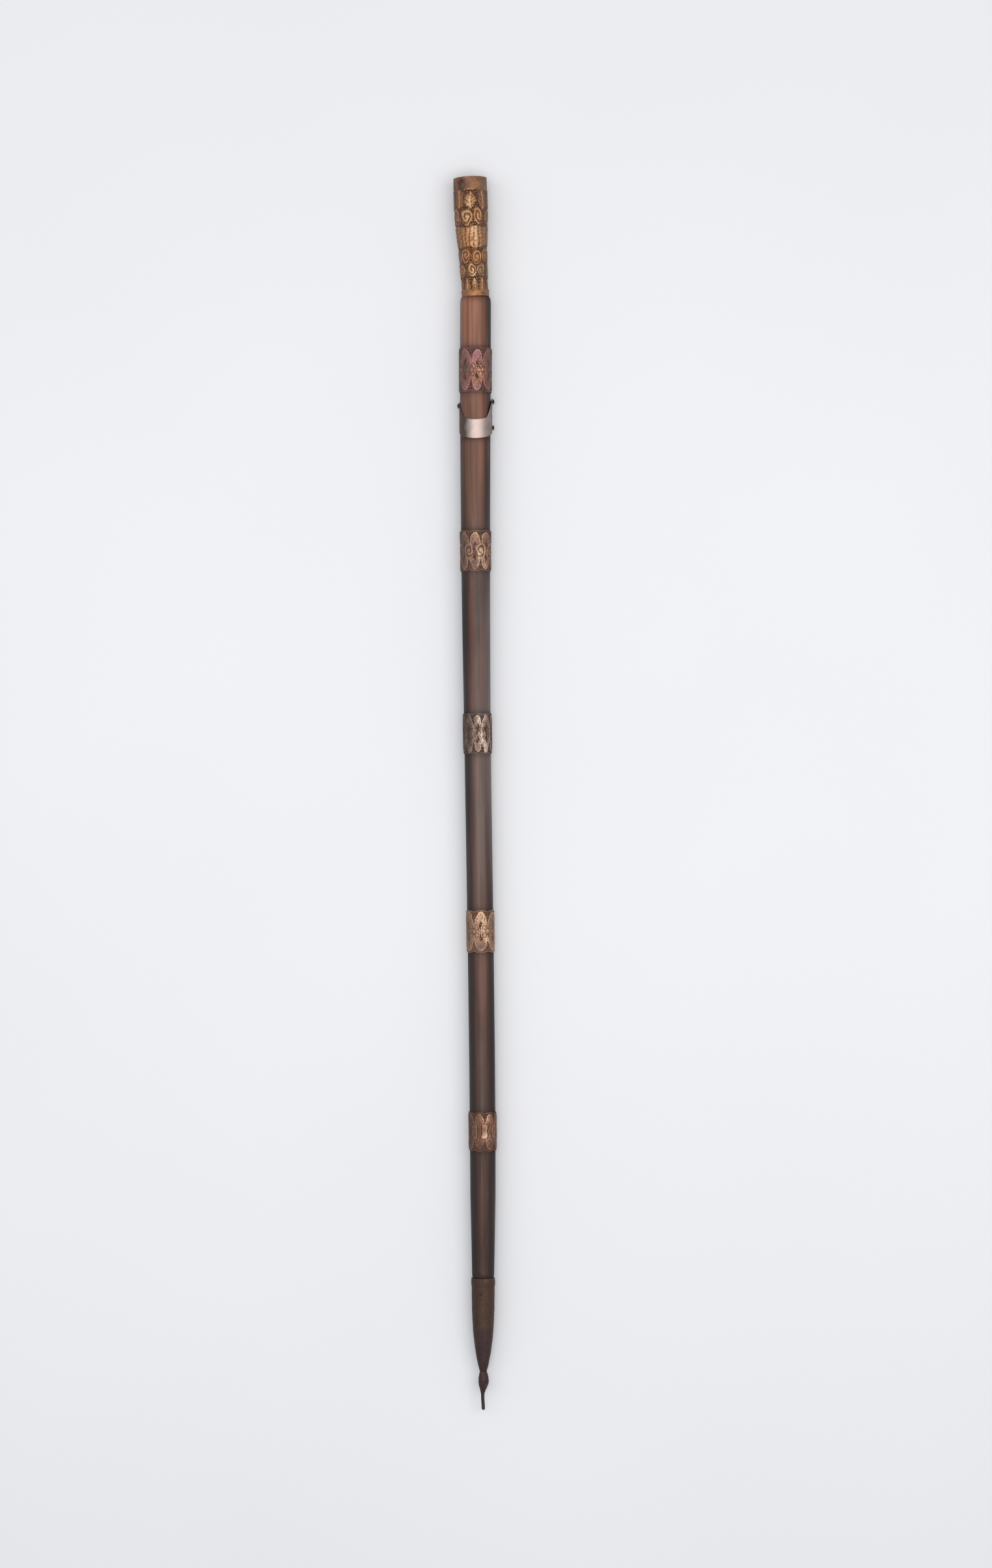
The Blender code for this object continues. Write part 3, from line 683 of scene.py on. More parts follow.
def stick_tree():
    """A circle carried along a line, then rippled along its normals."""
    tree, given = new_tree("stick along a line", Sides="Int", Ripple="Float", Fineness="Float")
    start = given["Geometry"]
    more = {"Scale": kept_value(start, "thickness"), "Fill Caps": True}
    skin = carry_circle(start, given["Sides"], 1.0, more)
    squeeze = {0: start.add("GeometryNodeInputPosition"), 1: RIPPLE_SQUEEZE}
    place = start.add("ShaderNodeVectorMath", {"operation": "MULTIPLY"}, squeeze)
    skin = push_by_noise(start, skin, place, given["Fineness"], given["Ripple"], 2.0)
    return end_tree(tree, given, skin)


def grime_near_fittings(mesh):
    """Keep on the mesh how close each point is to the edge of a fitting, 0 to 1."""
    y = point_places(mesh)[:, 1]
    edges = [edge.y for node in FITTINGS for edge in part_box(node)]
    edges.append(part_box("silver_collar")[0].y)
    distance = np.abs(y[:, None] - np.array(edges)).min(axis=1)
    keep(mesh, "grime", np.exp(-distance / GRIME_REACH))


def paint_edge_shade_and_sheen(mesh):
    """Keep on the mesh the painted shade along both edges and the painted sheen on the right."""
    places = point_places(mesh)
    y = places[:, 1]
    sideways = np.cos(angle_round_staff(places))
    left = np.interp(y, *zip(*EDGE_SHADE_LEFT))
    right = np.interp(y, *zip(*EDGE_SHADE_RIGHT))
    # Painted shade along both edges, set along the stick for each side.
    edge_shade_share = np.where(sideways > 0, right, left) * fade(0.30, 0.85, np.abs(sideways))
    # Painted sheen: pale grey on the right side, about halfway down the stick.
    bloom = np.exp(-((y - SHEEN_MIDDLE) / SHEEN_REACH) ** 2) * fade(0.20, 0.70, sideways)
    keep(mesh, "old_coat", edge_shade_share)
    keep(mesh, "bloom", bloom)


stick_mesh = run_tree(
    stick_tree(),
    line_mesh("stick_line", stick_points, thickness=stick_radii),
    Sides=STICK_SIDES, Ripple=RIPPLE_HEIGHT, Fineness=RIPPLE_FINENESS, Material=WOOD,
)
stick_mesh.name = "stick"
face_outwards(stick_mesh)
grime_near_fittings(stick_mesh)
paint_edge_shade_and_sheen(stick_mesh)
new_piece("stick", stick_mesh, WOOD, "lacquered_wood", "shaft")

# %% [markdown]
# ## Embossing
# The brass and copper fittings were beaten up from behind over carved forms: leaves,
# scrolls, flutes, shells and rosettes in rows round the piece. Each motif here is a
# formula that gives a height from 0 to 1 at a place in its cell, from -1 to 1 across
# and 0 to 1 up. A piece lists its rows of motifs, and the highest one wins.

# %% Motifs of the embossing
def leaf(across, up, number):
    """A pointed leaf with a midrib and slanting veins."""
    width = np.sin(np.pi * np.clip(up, 0, 1) ** 0.85) ** 0.75
    reach = np.abs(across) / np.maximum(width, 0.02)
    midrib = fade(0.20, 0.05, np.abs(across))
    veins = 0.5 + 0.5 * np.cos(2 * np.pi * (4.5 * up - 1.6 * np.abs(across)))
    return fade(1.0, 0.72, reach) * (0.62 + 0.38 * midrib - 0.28 * veins * (1 - midrib))


def scroll(across, up, number):
    """A scroll winding in to its eye, to the right and to the left by turns."""
    x = across * np.where(number % 2 == 0, 1.0, -1.0)
    y = 2 * up - 1
    reach = np.hypot(x, y)
    wire = 0.5 + 0.5 * np.cos(2 * np.pi * (1.9 * reach - np.arctan2(y, x) / (2 * np.pi)))
    eye = fade(0.24, 0.10, reach)
    return fade(1.02, 0.84, reach) * np.maximum(0.22 + 0.78 * wire, eye)


def flute(across, up, number):
    """An upright round flute with rounded ends, cut across like a cord."""
    end = np.minimum(up, 1 - up)
    cuts = 0.5 + 0.5 * np.cos(2 * np.pi * (6 * up + 0.35 * across + 0.37 * number))
    return np.sqrt(np.clip(1 - across ** 2, 0, 1)) * fade(0.0, 0.10, end) * (0.66 + 0.34 * cuts)


def shell(across, up, number):
    """A shell of ribs that fan out towards its rim, where up is 1."""
    reach = np.hypot(across, up)
    fan = np.arctan2(up, across) / np.pi
    ribs = 0.5 + 0.5 * np.cos(2 * np.pi * 7 * fan)
    rim = fade(0.14, 0.04, np.abs(reach - 0.86))
    inside = fade(0.95, 0.80, reach) * fade(0.05, 0.35, reach) * (0.40 + 0.45 * ribs)
    return np.maximum(inside, 0.95 * rim)


def rosette(across, up, number):
    """A round flower: a raised ring, eight petals and a knob."""
    y = 2 * up - 1
    reach = np.hypot(across, y)
    petals = 0.5 + 0.5 * np.cos(8 * np.arctan2(y, across))
    flower = fade(0.84, 0.70, reach) * fade(0.26, 0.42, reach) * (0.42 + 0.40 * petals)
    knob = np.sqrt(np.clip(1 - (reach / 0.30) ** 2, 0, 1))
    ring = 0.8 * fade(0.10, 0.02, np.abs(reach - 0.90))
    return np.maximum.reduce([flower, knob, ring])


def tablet(across, up, number):
    """A raised square with a sunk middle, between two upright bars."""
    y = np.abs(2 * up - 1)
    square = np.maximum(np.abs(across) / 0.58, y / 0.80)
    plate = fade(1.0, 0.86, square) * (1 - 0.35 * fade(0.62, 0.50, square))
    bar = fade(0.12, 0.04, np.abs(np.abs(across) - 0.86)) * fade(0.95, 0.80, y)
    return np.maximum(plate, 0.8 * bar)


print("six motifs ready")

# %% [markdown]
# A fitting's relief is its rows of motifs over a matted ground. It fades away along the
# lapped seam on the underside. The rows are bent a little by slow waves, since they were
# chased by eye, and long handling has left shallow dents in the sheet.

# %% Rows of motifs round a piece
LAP_HALF_ANGLE = math.radians(15)
LAP_FADE_ANGLE = math.radians(10)
BOTTOM = math.radians(270)
GROUND_GRAIN = 0.10
STUD_HEIGHT = 0.45
STUDS_AROUND = 38
ROWS_SWAY = 0.10
ROWS_LIFT = 0.03
ROWS_SPAN = 0.05


def apart(first, second):
    """Smallest angle between directions round the stick."""
    return np.abs((first - second + np.pi) % (2 * np.pi) - np.pi)


def lap_share(angle):
    """1 on the lapped seam along the underside, 0 on the rest."""
    return 1 - fade(LAP_HALF_ANGLE, LAP_HALF_ANGLE + LAP_FADE_ANGLE, apart(angle, BOTTOM))


def studs(angle, share, around, up):
    """A ground of small round studs, set in rows that are shifted by half a stud."""
    row = np.floor(share * up)
    across = (angle * around / (2 * np.pi) + 0.5 * (row % 2)) % 1.0 - 0.5
    along = share * up - row - 0.5
    return np.sqrt(np.clip(1 - (across ** 2 + along ** 2) / 0.20, 0, 1))


def emboss(angle, share, rows, studs_up, seed):
    """Height of the relief, 0 to 1: rows are (start, end, motif, how many, turned by)."""
    random = np.random.default_rng(seed)
    height = GROUND_GRAIN * random.random(np.broadcast(angle, share).shape)
    sideways = dents(angle, share * ROWS_SPAN, seed + 1) - 0.5
    upwards = dents(angle, share * ROWS_SPAN, seed + 2) - 0.5
    angle, share = angle + ROWS_SWAY * sideways, share + ROWS_LIFT * upwards
    height = np.maximum(height, STUD_HEIGHT * studs(angle, share, STUDS_AROUND, studs_up))
    for start, end, motif, count, phase in rows:
        place = angle * count / (2 * np.pi) + phase
        number = np.floor(place)
        up = (share - start) / (end - start)
        inside = (up >= 0) & (up <= 1)
        shape = motif(2 * (place - number) - 1, np.clip(up, 0, 1), number)
        height = np.maximum(height, np.where(inside, shape, 0.0))
    return height * (1 - lap_share(angle))


def dents(angle, y, seed):
    """Shallow dents, 0 to 1, from a few waves round and along a piece."""
    random = np.random.default_rng(seed)
    total = 0.0
    for wave in range(9):
        round_waves = random.integers(1, 6)
        waves = random.uniform(15, 110)
        first, second = random.uniform(0, 2 * np.pi, 2)
        total = total + np.cos(round_waves * angle + first) * np.cos(2 * np.pi * waves * y + second)
    return np.clip(0.5 + total / 5, 0, 1)


def spots(angle, share, places):
    """Patches on a piece, 0 to 1: each is its angle, share, half width, half height, strength."""
    total = np.zeros(np.broadcast(angle, share).shape)
    for degrees, up, half_width, half_height, strength in places:
        across = apart(angle, math.radians(degrees)) / math.radians(half_width)
        along = (share - up) / half_height
        total = np.maximum(total, strength * np.exp(-(across ** 2 + along ** 2)))
    return total


print("relief helpers ready")

# %% [markdown]
# ## Embossed metal
# All the embossed fittings share one recipe: dark dirt in the hollows, the metal's own
# colour on the slopes, and a bright colour where the high places are worn. Patches of
# patina, of wear with painted highlights in the bright and glint colours, and of a second
# tint come from values kept on the mesh, broken up by noise. Painted shade darkens the
# sides, and patina patches that cover the sides are painted shade too. Small flecks of
# noise break up the regular relief as well. Each fitting gives the recipe its own colours.

# %% The recipe for embossed metal
def embossed_metal(name, hollow, body, bright, patina, glint, tint):
    """Sheet metal with dirt in its hollows, worn high places, painted highlights and painted shade
    at its sides.
    """
    material, shader, place = new_finish(name, IOR=1.38)
    fine = stretched_noise(place, 1.0, 1.0, 1400.0, 4.0)
    soft = stretched_noise(place, 1.0, 0.8, 210.0, 3.0)
    patches = stretched_noise(place, 1.0, 0.7, 120.0, 3.0)
    flecks = stretched_noise(place, 1.0, 1.0, 480.0, 2.0)
    relief = painted(place, "relief")
    flank = painted(place, "flank")
    dull = painted(place, "dull") * soft.ramp(0.30, 0.62)
    rubbed = painted(place, "rubbed") * soft.ramp(0.70, 0.42)
    level = relief + (fine - 0.5) * 0.26 + (flecks - 0.5) * 0.75
    color = level.ramp(0.10, 0.66).mix(hollow, body)
    tinted = patches.ramp(0.48, 0.66) * 0.55 + painted(place, "tinted") * 0.75
    color = (tinted * level.ramp(0.10, 0.5)).mix(color, tint)
    # Worn high places go bright; the highlight spots add painted highlights there, in the bright
    # and glint colours.
    color = (level.ramp(0.55, 0.98) * (0.45 + rubbed * 0.55)).mix(color, bright)
    color = (rubbed * level.ramp(0.20, 0.75) * 0.85).mix(color, glint)
    # Patina patches, and painted shade where the patches cover the sides.
    color = (dull * 0.85).mix(color, patina)
    # Painted shade: the sides darken towards the patina colour, and the hollows there towards the
    # hollow colour.
    color = (flank * (0.80 - level.ramp(0.4, 1.0) * 0.25)).mix(color, patina)
    color = (flank * (1 - level.ramp(0.1, 0.6)) * 0.7).mix(color, hollow)
    roughness = 0.42 + (1 - level.ramp(0.1, 0.7)) * 0.22 + dull * 0.18 + fine * 0.10
    metallic = 0.30 + level.ramp(0.05, 0.45) * 0.45 - dull * 0.3 - flank * 0.2
    bump = bumped(fine, 0.22, 0.0002)
    feed(shader, Base_Color=color, Roughness=roughness, Metallic=metallic, Normal=bump)
    return material


GRIP_METAL = embossed_metal(
    "gilt brass",
    hollow=screen(66, 42, 28),
    body=screen(158, 112, 76),
    bright=screen(202, 154, 110),
    patina=screen(116, 94, 84),
    glint=screen(228, 196, 158),
    tint=screen(150, 96, 56),
)
print("made", GRIP_METAL.name)

# %% [markdown]
# ## The grip
# The grip is a thin sleeve of gilt brass, closed by a low crown. From the foot up it has
# petals, two rows of scrolls, upright flutes, more scrolls and a row of pointed leaves,
# between a plain foot and a plain rim. Its surface is a grid fine enough to hold the
# chasing. The inner wall is a coarser set of rows in the same grid.

# %% The grip's rows and its surface
HANDLE_TOP_DOME = 0.0012
HANDLE_RELIEF = 0.0009
HANDLE_LIP = 0.0004
GRIP_DENT = 0.00016
GRIP_STUDS_UP = 42
GRIP_SEED = 11
GRIP_SIDES = 320
GRIP_ROWS_UP = 268
LIP_STEPS = 5
CROWN_ROWS = 22
CROWN_SHARE = 1.13
PLAIN_LEVEL = 0.55
BORE_SHARES = (1.0, 1.0, 0.8, 0.6, 0.45, 0.3, 0.15, 0.06, 0.0)
GRIP_MOTIFS = (
    (-0.03, 0.11, leaf, 10, 0.0),
    (0.12, 0.28, scroll, 8, 0.3),
    (0.26, 0.42, scroll, 8, 0.8),
    (0.42, 0.65, flute, 20, 0.5),
    (0.65, 0.83, scroll, 8, 0.1),
    (0.81, 1.00, leaf, 8, 0.5),
)
# Spots of painted highlight, mixed with wear, near the top of the grip.
GRIP_WEAR_AND_HIGHLIGHT = (
    (85, 0.13, 26, 0.08, 1.0),
    (95, 0.90, 16, 0.10, 0.8),
    (80, 0.58, 22, 0.14, 0.7),
    (100, 0.74, 20, 0.08, 0.4),
)
# Spots of patina; the first two, which cover the sides, are painted shade.
GRIP_PATINA_AND_SHADE = (
    (180, 0.5, 42, 0.9, 1.0),
    (0, 0.6, 36, 0.9, 0.9),
    (50, 0.18, 22, 0.10, 0.7),
    (140, 0.98, 26, 0.08, 0.9),
    (45, 1.02, 26, 0.10, 0.9),
)
GRIP_TINTED = ((95, 0.50, 40, 0.22, 0.8), (130, 0.95, 20, 0.12, 0.9))
RIM_STAINS = ((122, 1.06, 16, 0.07, 0.7), (158, 1.05, 10, 0.05, 0.3))


def grip():
    """The embossed sleeve: bore, foot, relief, rim and crown."""
    angle = directions(GRIP_SIDES)
    height = np.linspace(0.0, HANDLE_LENGTH - HANDLE_LIP, GRIP_ROWS_UP)[:, None]
    share = grip_share(height)
    relief = emboss(angle, share, GRIP_MOTIFS, GRIP_STUDS_UP, GRIP_SEED)
    relief = relief * fade(-0.03, 0.005, share) * fade(1.02, 0.995, share)
    dent = dents(angle, height, GRIP_SEED + 1)
    radius = handle_ground(height) + HANDLE_RELIEF * relief - GRIP_DENT * dent
    outside = ring_rows(radius, angle, height, handle_middle(height))
    turn = np.linspace(0, np.pi / 2, LIP_STEPS + 1)[1:, None]
    lip_radius = HANDLE_RIM_DIAMETER / 2 - HANDLE_LIP * (1 - np.cos(turn))
    lip = ring_rows(lip_radius, angle, HANDLE_LENGTH - HANDLE_LIP * (1 - np.sin(turn)))
    reach = np.linspace(0.965, 0.04, CROWN_ROWS)[:, None]
    crown_height = HANDLE_LENGTH + HANDLE_TOP_DOME * (1 - reach ** 2)
    crown = ring_rows(HANDLE_RIM_DIAMETER / 2 * reach, angle, crown_height)
    inner_height = (HANDLE_LENGTH - HANDLE_TOP_WALL) * np.array(BORE_SHARES)[:, None]
    inner_radius = handle_ground(inner_height) - HANDLE_WALL
    inner_radius[0] *= 0.5
    inside = ring_rows(inner_radius, angle, inner_height, handle_middle(inner_height))
    rows = np.concatenate([inside, outside, lip, crown])
    blank = np.zeros((len(inside), GRIP_SIDES))
    plain = np.full((len(lip) + len(crown), GRIP_SIDES), PLAIN_LEVEL)
    plain_level = 0.5 + 0.1 * dent - spots(angle, share, RIM_STAINS)
    level = np.where((share < 0.0) | (share > 1.0), plain_level, relief)
    level = np.concatenate([blank, level, plain])
    crown_share = np.full((len(plain), 1), CROWN_SHARE)
    places = np.concatenate([grip_share(inner_height), share, crown_share])
    tip_heights = (HANDLE_LENGTH - HANDLE_TOP_WALL, HANDLE_LENGTH + HANDLE_TOP_DOME)
    tips = np.array([[0.0, height, 0.0] for height in tip_heights])
    rim_dull = 0.7 * fade(1.0, 1.03, places) * np.ones_like(angle)
    return grid_mesh(
        "grip",
        placed(grip_place, rows),
        placed(grip_place, tips),
        relief=level,
        dull=np.maximum(spots(angle, places, GRIP_PATINA_AND_SHADE), rim_dull),
        rubbed=spots(angle, places, GRIP_WEAR_AND_HIGHLIGHT),
        tinted=spots(angle, places, GRIP_TINTED),
    )


new_piece("grip", grip(), GRIP_METAL, "gilt_brass", "handle_sleeve")

# %% [markdown]
# ## The five bands
# Each band is a strip of sheet metal wrapped round the stick, with both edges cut into
# lobes. Shells fill the lobes and a row of larger motifs runs between them. The bands
# aren't alike: they differ in metal, in the number of lobes and in the motif between.
# One function makes all five from a short description each.

# %% What differs from band to band
# In each band the highlight spots are painted highlights mixed with wear, and the patina spots are
# patina, except those spanning the sides, which are painted shade.
BANDS = {
    "band_1": {
        "height": 0.0410, "lobes": 8, "turn": 16, "motif": rosette, "slot": "band_copper",
        "metal": {
            "hollow": screen(70, 46, 40),
            "body": screen(130, 90, 78),
            "bright": screen(172, 124, 108),
            "patina": screen(90, 80, 72),
            "glint": screen(206, 148, 112),
            "tint": screen(142, 102, 104),
        },
        "rubbed": ((76, 0.42, 17, 0.14, 1.0), (86, 0.62, 12, 0.10, 0.7), (124, 0.46, 7, 0.05, 1.0)),
        "dull": ((132, 0.50, 24, 0.20, 1.0), (180, 0.5, 30, 0.9, 0.9), (0, 0.5, 30, 0.9, 0.9)),
        "tinted": ((100, 0.86, 50, 0.16, 1.0), (100, 0.10, 50, 0.10, 0.8)),
    },
    "band_2": {
        "height": 0.0375, "lobes": 8, "turn": -20, "motif": scroll, "slot": "band_copper_gold",
        "metal": {
            "hollow": screen(70, 46, 36),
            "body": screen(134, 102, 86),
            "bright": screen(180, 146, 122),
            "patina": screen(90, 74, 70),
            "glint": screen(208, 182, 142),
            "tint": screen(146, 104, 98),
        },
        "rubbed": ((66, 0.38, 18, 0.18, 1.0), (58, 0.14, 15, 0.10, 1.0), (70, 0.92, 22, 0.08, 0.6)),
        "dull": (
            (170, 0.5, 48, 0.9, 1.0),
            (0, 0.5, 26, 0.9, 0.7),
            (125, 0.72, 20, 0.14, 0.6),
            (98, 0.14, 18, 0.13, 1.0),
        ),
        "tinted": ((84, 0.64, 30, 0.16, 1.0), (60, 0.10, 26, 0.12, 0.9)),
    },
    "band_3": {
        "height": 0.0375, "lobes": 10, "turn": -1, "motif": leaf, "slot": "band_silver_gilt",
        "metal": {
            "hollow": screen(56, 42, 36),
            "body": screen(124, 102, 92),
            "bright": screen(180, 158, 146),
            "patina": screen(74, 62, 58),
            "glint": screen(238, 218, 200),
            "tint": screen(138, 110, 92),
        },
        "rubbed": ((60, 0.22, 17, 0.24, 1.0), (72, 0.85, 20, 0.16, 0.7), (78, 0.45, 12, 0.12, 0.7)),
        "dull": ((150, 0.55, 46, 0.9, 1.0), (118, 0.86, 26, 0.20, 0.9), (0, 0.5, 26, 0.9, 0.7)),
        "tinted": ((88, 0.40, 30, 0.18, 0.9), (100, 0.10, 40, 0.08, 0.8)),
    },
    "band_4": {
        "height": 0.0390, "lobes": 6, "turn": -2, "motif": rosette, "slot": "band_pale_gold",
        "metal": {
            "hollow": screen(78, 48, 34),
            "body": screen(154, 120, 98),
            "bright": screen(198, 164, 136),
            "patina": screen(118, 98, 86),
            "glint": screen(232, 198, 164),
            "tint": screen(156, 112, 92),
        },
        "rubbed": ((82, 0.80, 18, 0.14, 1.0), (80, 0.50, 18, 0.14, 0.7), (66, 0.30, 14, 0.10, 0.8)),
        "dull": (
            (30, 0.6, 28, 0.34, 0.8),
            (180, 0.6, 34, 0.9, 0.9),
            (105, 0.36, 18, 0.12, 0.9),
            (88, 0.12, 34, 0.12, 1.0),
        ),
        "tinted": ((90, 0.08, 90, 0.18, 1.0), (140, 0.80, 30, 0.16, 0.7)),
    },
    "band_5": {
        "height": 0.0360, "lobes": 8, "turn": -9, "motif": tablet, "slot": "band_orange_gold",
        "metal": {
            "hollow": screen(64, 42, 34),
            "body": screen(124, 90, 72),
            "bright": screen(172, 132, 108),
            "patina": screen(84, 66, 58),
            "glint": screen(206, 170, 146),
            "tint": screen(126, 76, 58),
        },
        "rubbed": ((74, 0.84, 18, 0.12, 1.0), (72, 0.36, 17, 0.14, 1.0), (66, 0.60, 12, 0.08, 0.6)),
        "dull": (
            (165, 0.6, 44, 0.9, 1.0),
            (0, 0.5, 28, 0.9, 0.8),
            (120, 0.12, 20, 0.10, 0.7),
            (80, 0.10, 60, 0.14, 1.0),
        ),
        "tinted": ((90, 0.10, 80, 0.14, 1.0), (96, 0.94, 30, 0.10, 0.6)),
    },
}
print(len(BANDS), "bands described")

# %% [markdown]
# A band's surface is worked out like the grip's. Its edge follows the lobes, and its
# seam is a lap: over thirty degrees of the underside the sheet lies double.

# %% Shape a band
BAND_SHEET = 0.00035
BAND_RELIEF = 0.00055
BAND_DENT = 0.00010
BAND_STUDS_UP = 19
SCALLOP_DEPTH = 0.0016
SCALLOP_ROUNDNESS = 0.6
BAND_ROWS_UP = 132
BAND_SIDES = 296
INNER_SHARES = (1.0, 0.75, 0.5, 0.25, 0.0)


def scallop(band, angle):
    """Outline of a band's edge, 1 at the tips of its lobes and 0 in the notches."""
    wave = np.sin((angle - math.radians(band["turn"])) * band["lobes"] / 2)
    return np.abs(wave) ** SCALLOP_ROUNDNESS


def band_relief(band, angle, share):
    """Relief of a band: shells along both edges and a row of motifs between them."""
    phase = -band["turn"] * band["lobes"] / 360
    rows = (
        (0.34, 0.01, shell, band["lobes"], phase),
        (0.66, 0.99, shell, band["lobes"], phase),
        (0.25, 0.75, band["motif"], band["lobes"], phase + 0.5),
    )
    return emboss(angle, share, rows, BAND_STUDS_UP, band["lobes"] + abs(band["turn"]))


def band_points(band, node, share, stand_off, angle):
    """Points of a band at a share of its height, standing off the wood."""
    middle = (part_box(node)[0].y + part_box(node)[1].y) / 2
    notch = SCALLOP_DEPTH * (1 - scallop(band, angle))
    up = (share - 0.5) * (band["height"] - 2 * notch)
    rows = ring_rows(wood_radius(middle + up) + CLEARANCE + stand_off, angle, up)
    return placed(seat(middle), rows)


def band_mesh(node, band):
    """One embossed band, with its inner wall."""
    angle = directions(BAND_SIDES)
    share = np.linspace(0, 1, BAND_ROWS_UP)[:, None]
    inner_share = np.array(INNER_SHARES)[:, None]
    relief = band_relief(band, angle, share)
    dent = dents(angle, share * band["height"], band["lobes"])
    thickness = BAND_SHEET * (1 + lap_share(angle)) + BAND_RELIEF * relief - BAND_DENT * dent
    outside = band_points(band, node, share, thickness, angle)
    inside = band_points(band, node, inner_share, 0.0, angle)
    places = np.concatenate([share, inner_share])
    return grid_mesh(
        node + "_sheet",
        np.concatenate([outside, inside]),
        relief=np.concatenate([relief, np.zeros((len(INNER_SHARES), BAND_SIDES))]),
        dull=spots(angle, places, band["dull"]),
        rubbed=spots(angle, places, band["rubbed"]),
        tinted=spots(angle, places, band["tinted"]),
    )


for node, band in BANDS.items():
    band["finish"] = embossed_metal(band["slot"].replace("_", " "), **band["metal"])
    new_piece(node + "_sheet", band_mesh(node, band), band["finish"], band["slot"], node)

# %% [markdown]
# The cut edges are rolled over into a thin round rim, which stiffens them. The rim
# follows the lobed edge, so it is a circle carried along a path again. The grip has a
# row of small beads above its plain foot, which is one bead set at many points of a path.

# %% Trees for rims and beads
PATH_POINTS = 240


def rim_tree():
    """A thin wire along a path."""
    tree, given = new_tree("rim along an edge", Radius="Float", Sides="Int")
    wire = carry_circle(given["Geometry"], given["Sides"], given["Radius"])
    return end_tree(tree, given, wire)


def bead_tree():
    """Small round beads, evenly spaced along a path."""
    tree, given = new_tree("beads along a line", Radius="Float", Count="Int")
    start = given["Geometry"]
    line = start.add("GeometryNodeMeshToCurve", None, {"Mesh": start})
    sockets = {"Curve": line, "Count": given["Count"]}
    points = start.add("GeometryNodeCurveToPoints", {"mode": "COUNT"}, sockets)
    ball = {"Radius": given["Radius"], "Subdivisions": 2}
    bead = start.add("GeometryNodeMeshIcoSphere", None, ball)
    beads = start.add("GeometryNodeInstanceOnPoints", None, {"Points": points, "Instance": bead})
    return end_tree(tree, given, beads)


def paint_evenly(mesh, **values):
    """Keep the same values on all points of a mesh."""
    for key, value in values.items():
        keep(mesh, key, np.full(len(mesh.vertices), value))


def join_meshes(name, meshes):
    """One mesh from several."""
    work = bmesh.new()
    for mesh in meshes:
        work.from_mesh(mesh)
    joined = bpy.data.meshes.new(name)
    work.to_mesh(joined)
    work.free()
    joined.shade_smooth()
    return joined


RIMS = rim_tree()
BEADS = bead_tree()
path_angle = directions(PATH_POINTS)
print("made", RIMS.name, "and", BEADS.name)

# %% Rims on the bands and beads on the grip
RIM_RADIUS = 0.00030
RIM_SIDES = 8
BEAD_RADIUS = 0.00042
BEAD_COUNT = 80
BEAD_RISE = 0.0002
BEAD_STAND_OFF = 0.0001


def band_rims(node, band):
    """The two rolled rims of a band, as one mesh."""
    wires = []
    for share in (0.0, 1.0):
        edge = band_points(band, node, np.array([[share]]), BAND_SHEET / 2, path_angle)[0]
        source = line_mesh(f"{node}_edge_{share:.0f}", edge, closed=True)
        sizes = {"Radius": RIM_RADIUS, "Sides": RIM_SIDES}
        wires.append(run_tree(RIMS, source, Material=band["finish"], **sizes))
    rims = join_meshes(node + "_rims", wires)
    face_outwards(rims)
    paint_evenly(rims, relief=0.7, dull=0.2, rubbed=0.15, tinted=0.3)
    return rims


def grip_ring(height, stand_off):
    """A closed path round the grip at a height."""
    radius = handle_ground(height) + stand_off
    return placed(grip_place, ring_rows(radius, path_angle, height, handle_middle(height)))[0]


for node, band in BANDS.items():
    new_piece(node + "_rims", band_rims(node, band), band["finish"], band["slot"], node)

foot_ring = grip_ring(HANDLE_FOOT_HEIGHT + BEAD_RISE, BEAD_STAND_OFF)
foot_line = line_mesh("grip_bead_line", foot_ring, closed=True)
beads = run_tree(BEADS, foot_line, Radius=BEAD_RADIUS, Count=BEAD_COUNT, Material=GRIP_METAL)
beads.name = "grip_beads"
paint_evenly(beads, relief=0.8, dull=0.1, rubbed=0.35, tinted=0.1)
new_piece("grip_beads", beads, GRIP_METAL, "gilt_brass", "handle_sleeve")

# %% [markdown]
# ## The silver collar
# A plain strap of silver sheet goes round the stick below the first band. Its front dips
# and its two sides sweep up into ears. The silver is bright at the front and goes brown
# towards the sides, which is painted shade, and a little at its edges. The sheet has
# rounded edges and soft dents.

# %% Silver
def silver_with_painted_shade():
    """Silver, brown towards its sides with painted shade, with fine scratches."""
    material, shader, place = new_finish("tarnished silver")
    soft = stretched_noise(place, 1.0, 1.0, 160.0, 4.0)
    scratches = stretched_noise(place, 0.15, 1.0, 2600.0, 2.0)
    dull = painted(place, "dull")
    level = dull + (soft - 0.5) * 0.5
    color = level.ramp(0.0, 0.50).mix(screen(192, 173, 165), screen(160, 148, 142))
    color = level.ramp(0.40, 0.90).mix(color, screen(88, 76, 66))
    roughness = 0.44 + level.ramp(0.1, 0.9) * 0.20 + scratches * 0.12
    metallic = 1 - level.ramp(0.5, 1.0) * 0.35
    bump = bumped(soft, 0.12, 0.0003)
    feed(shader, Base_Color=color, Roughness=roughness, Metallic=metallic, Normal=bump)
    return material


SILVER = silver_with_painted_shade()
print("made", SILVER.name)

# %% Shape the collar
COLLAR_WIDTH = 0.0180
COLLAR_SHEET = 0.00045
COLLAR_DIP = 0.0060
COLLAR_STAND_OFF = 0.0009
COLLAR_EDGE = 0.0005
COLLAR_DENT = 0.00012
COLLAR_SIDES = 240
COLLAR_ROWS_UP = 61
COLLAR_INNER_ROWS = (60, 45, 30, 15, 0)
EAR_HALF_ANGLE = math.radians(50)
EARS = {"right": (0.0, 0.0145), "left": (math.pi, 0.0105)}

collar_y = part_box("silver_collar")[1].y - COLLAR_WIDTH / 2 - EARS["right"][1]


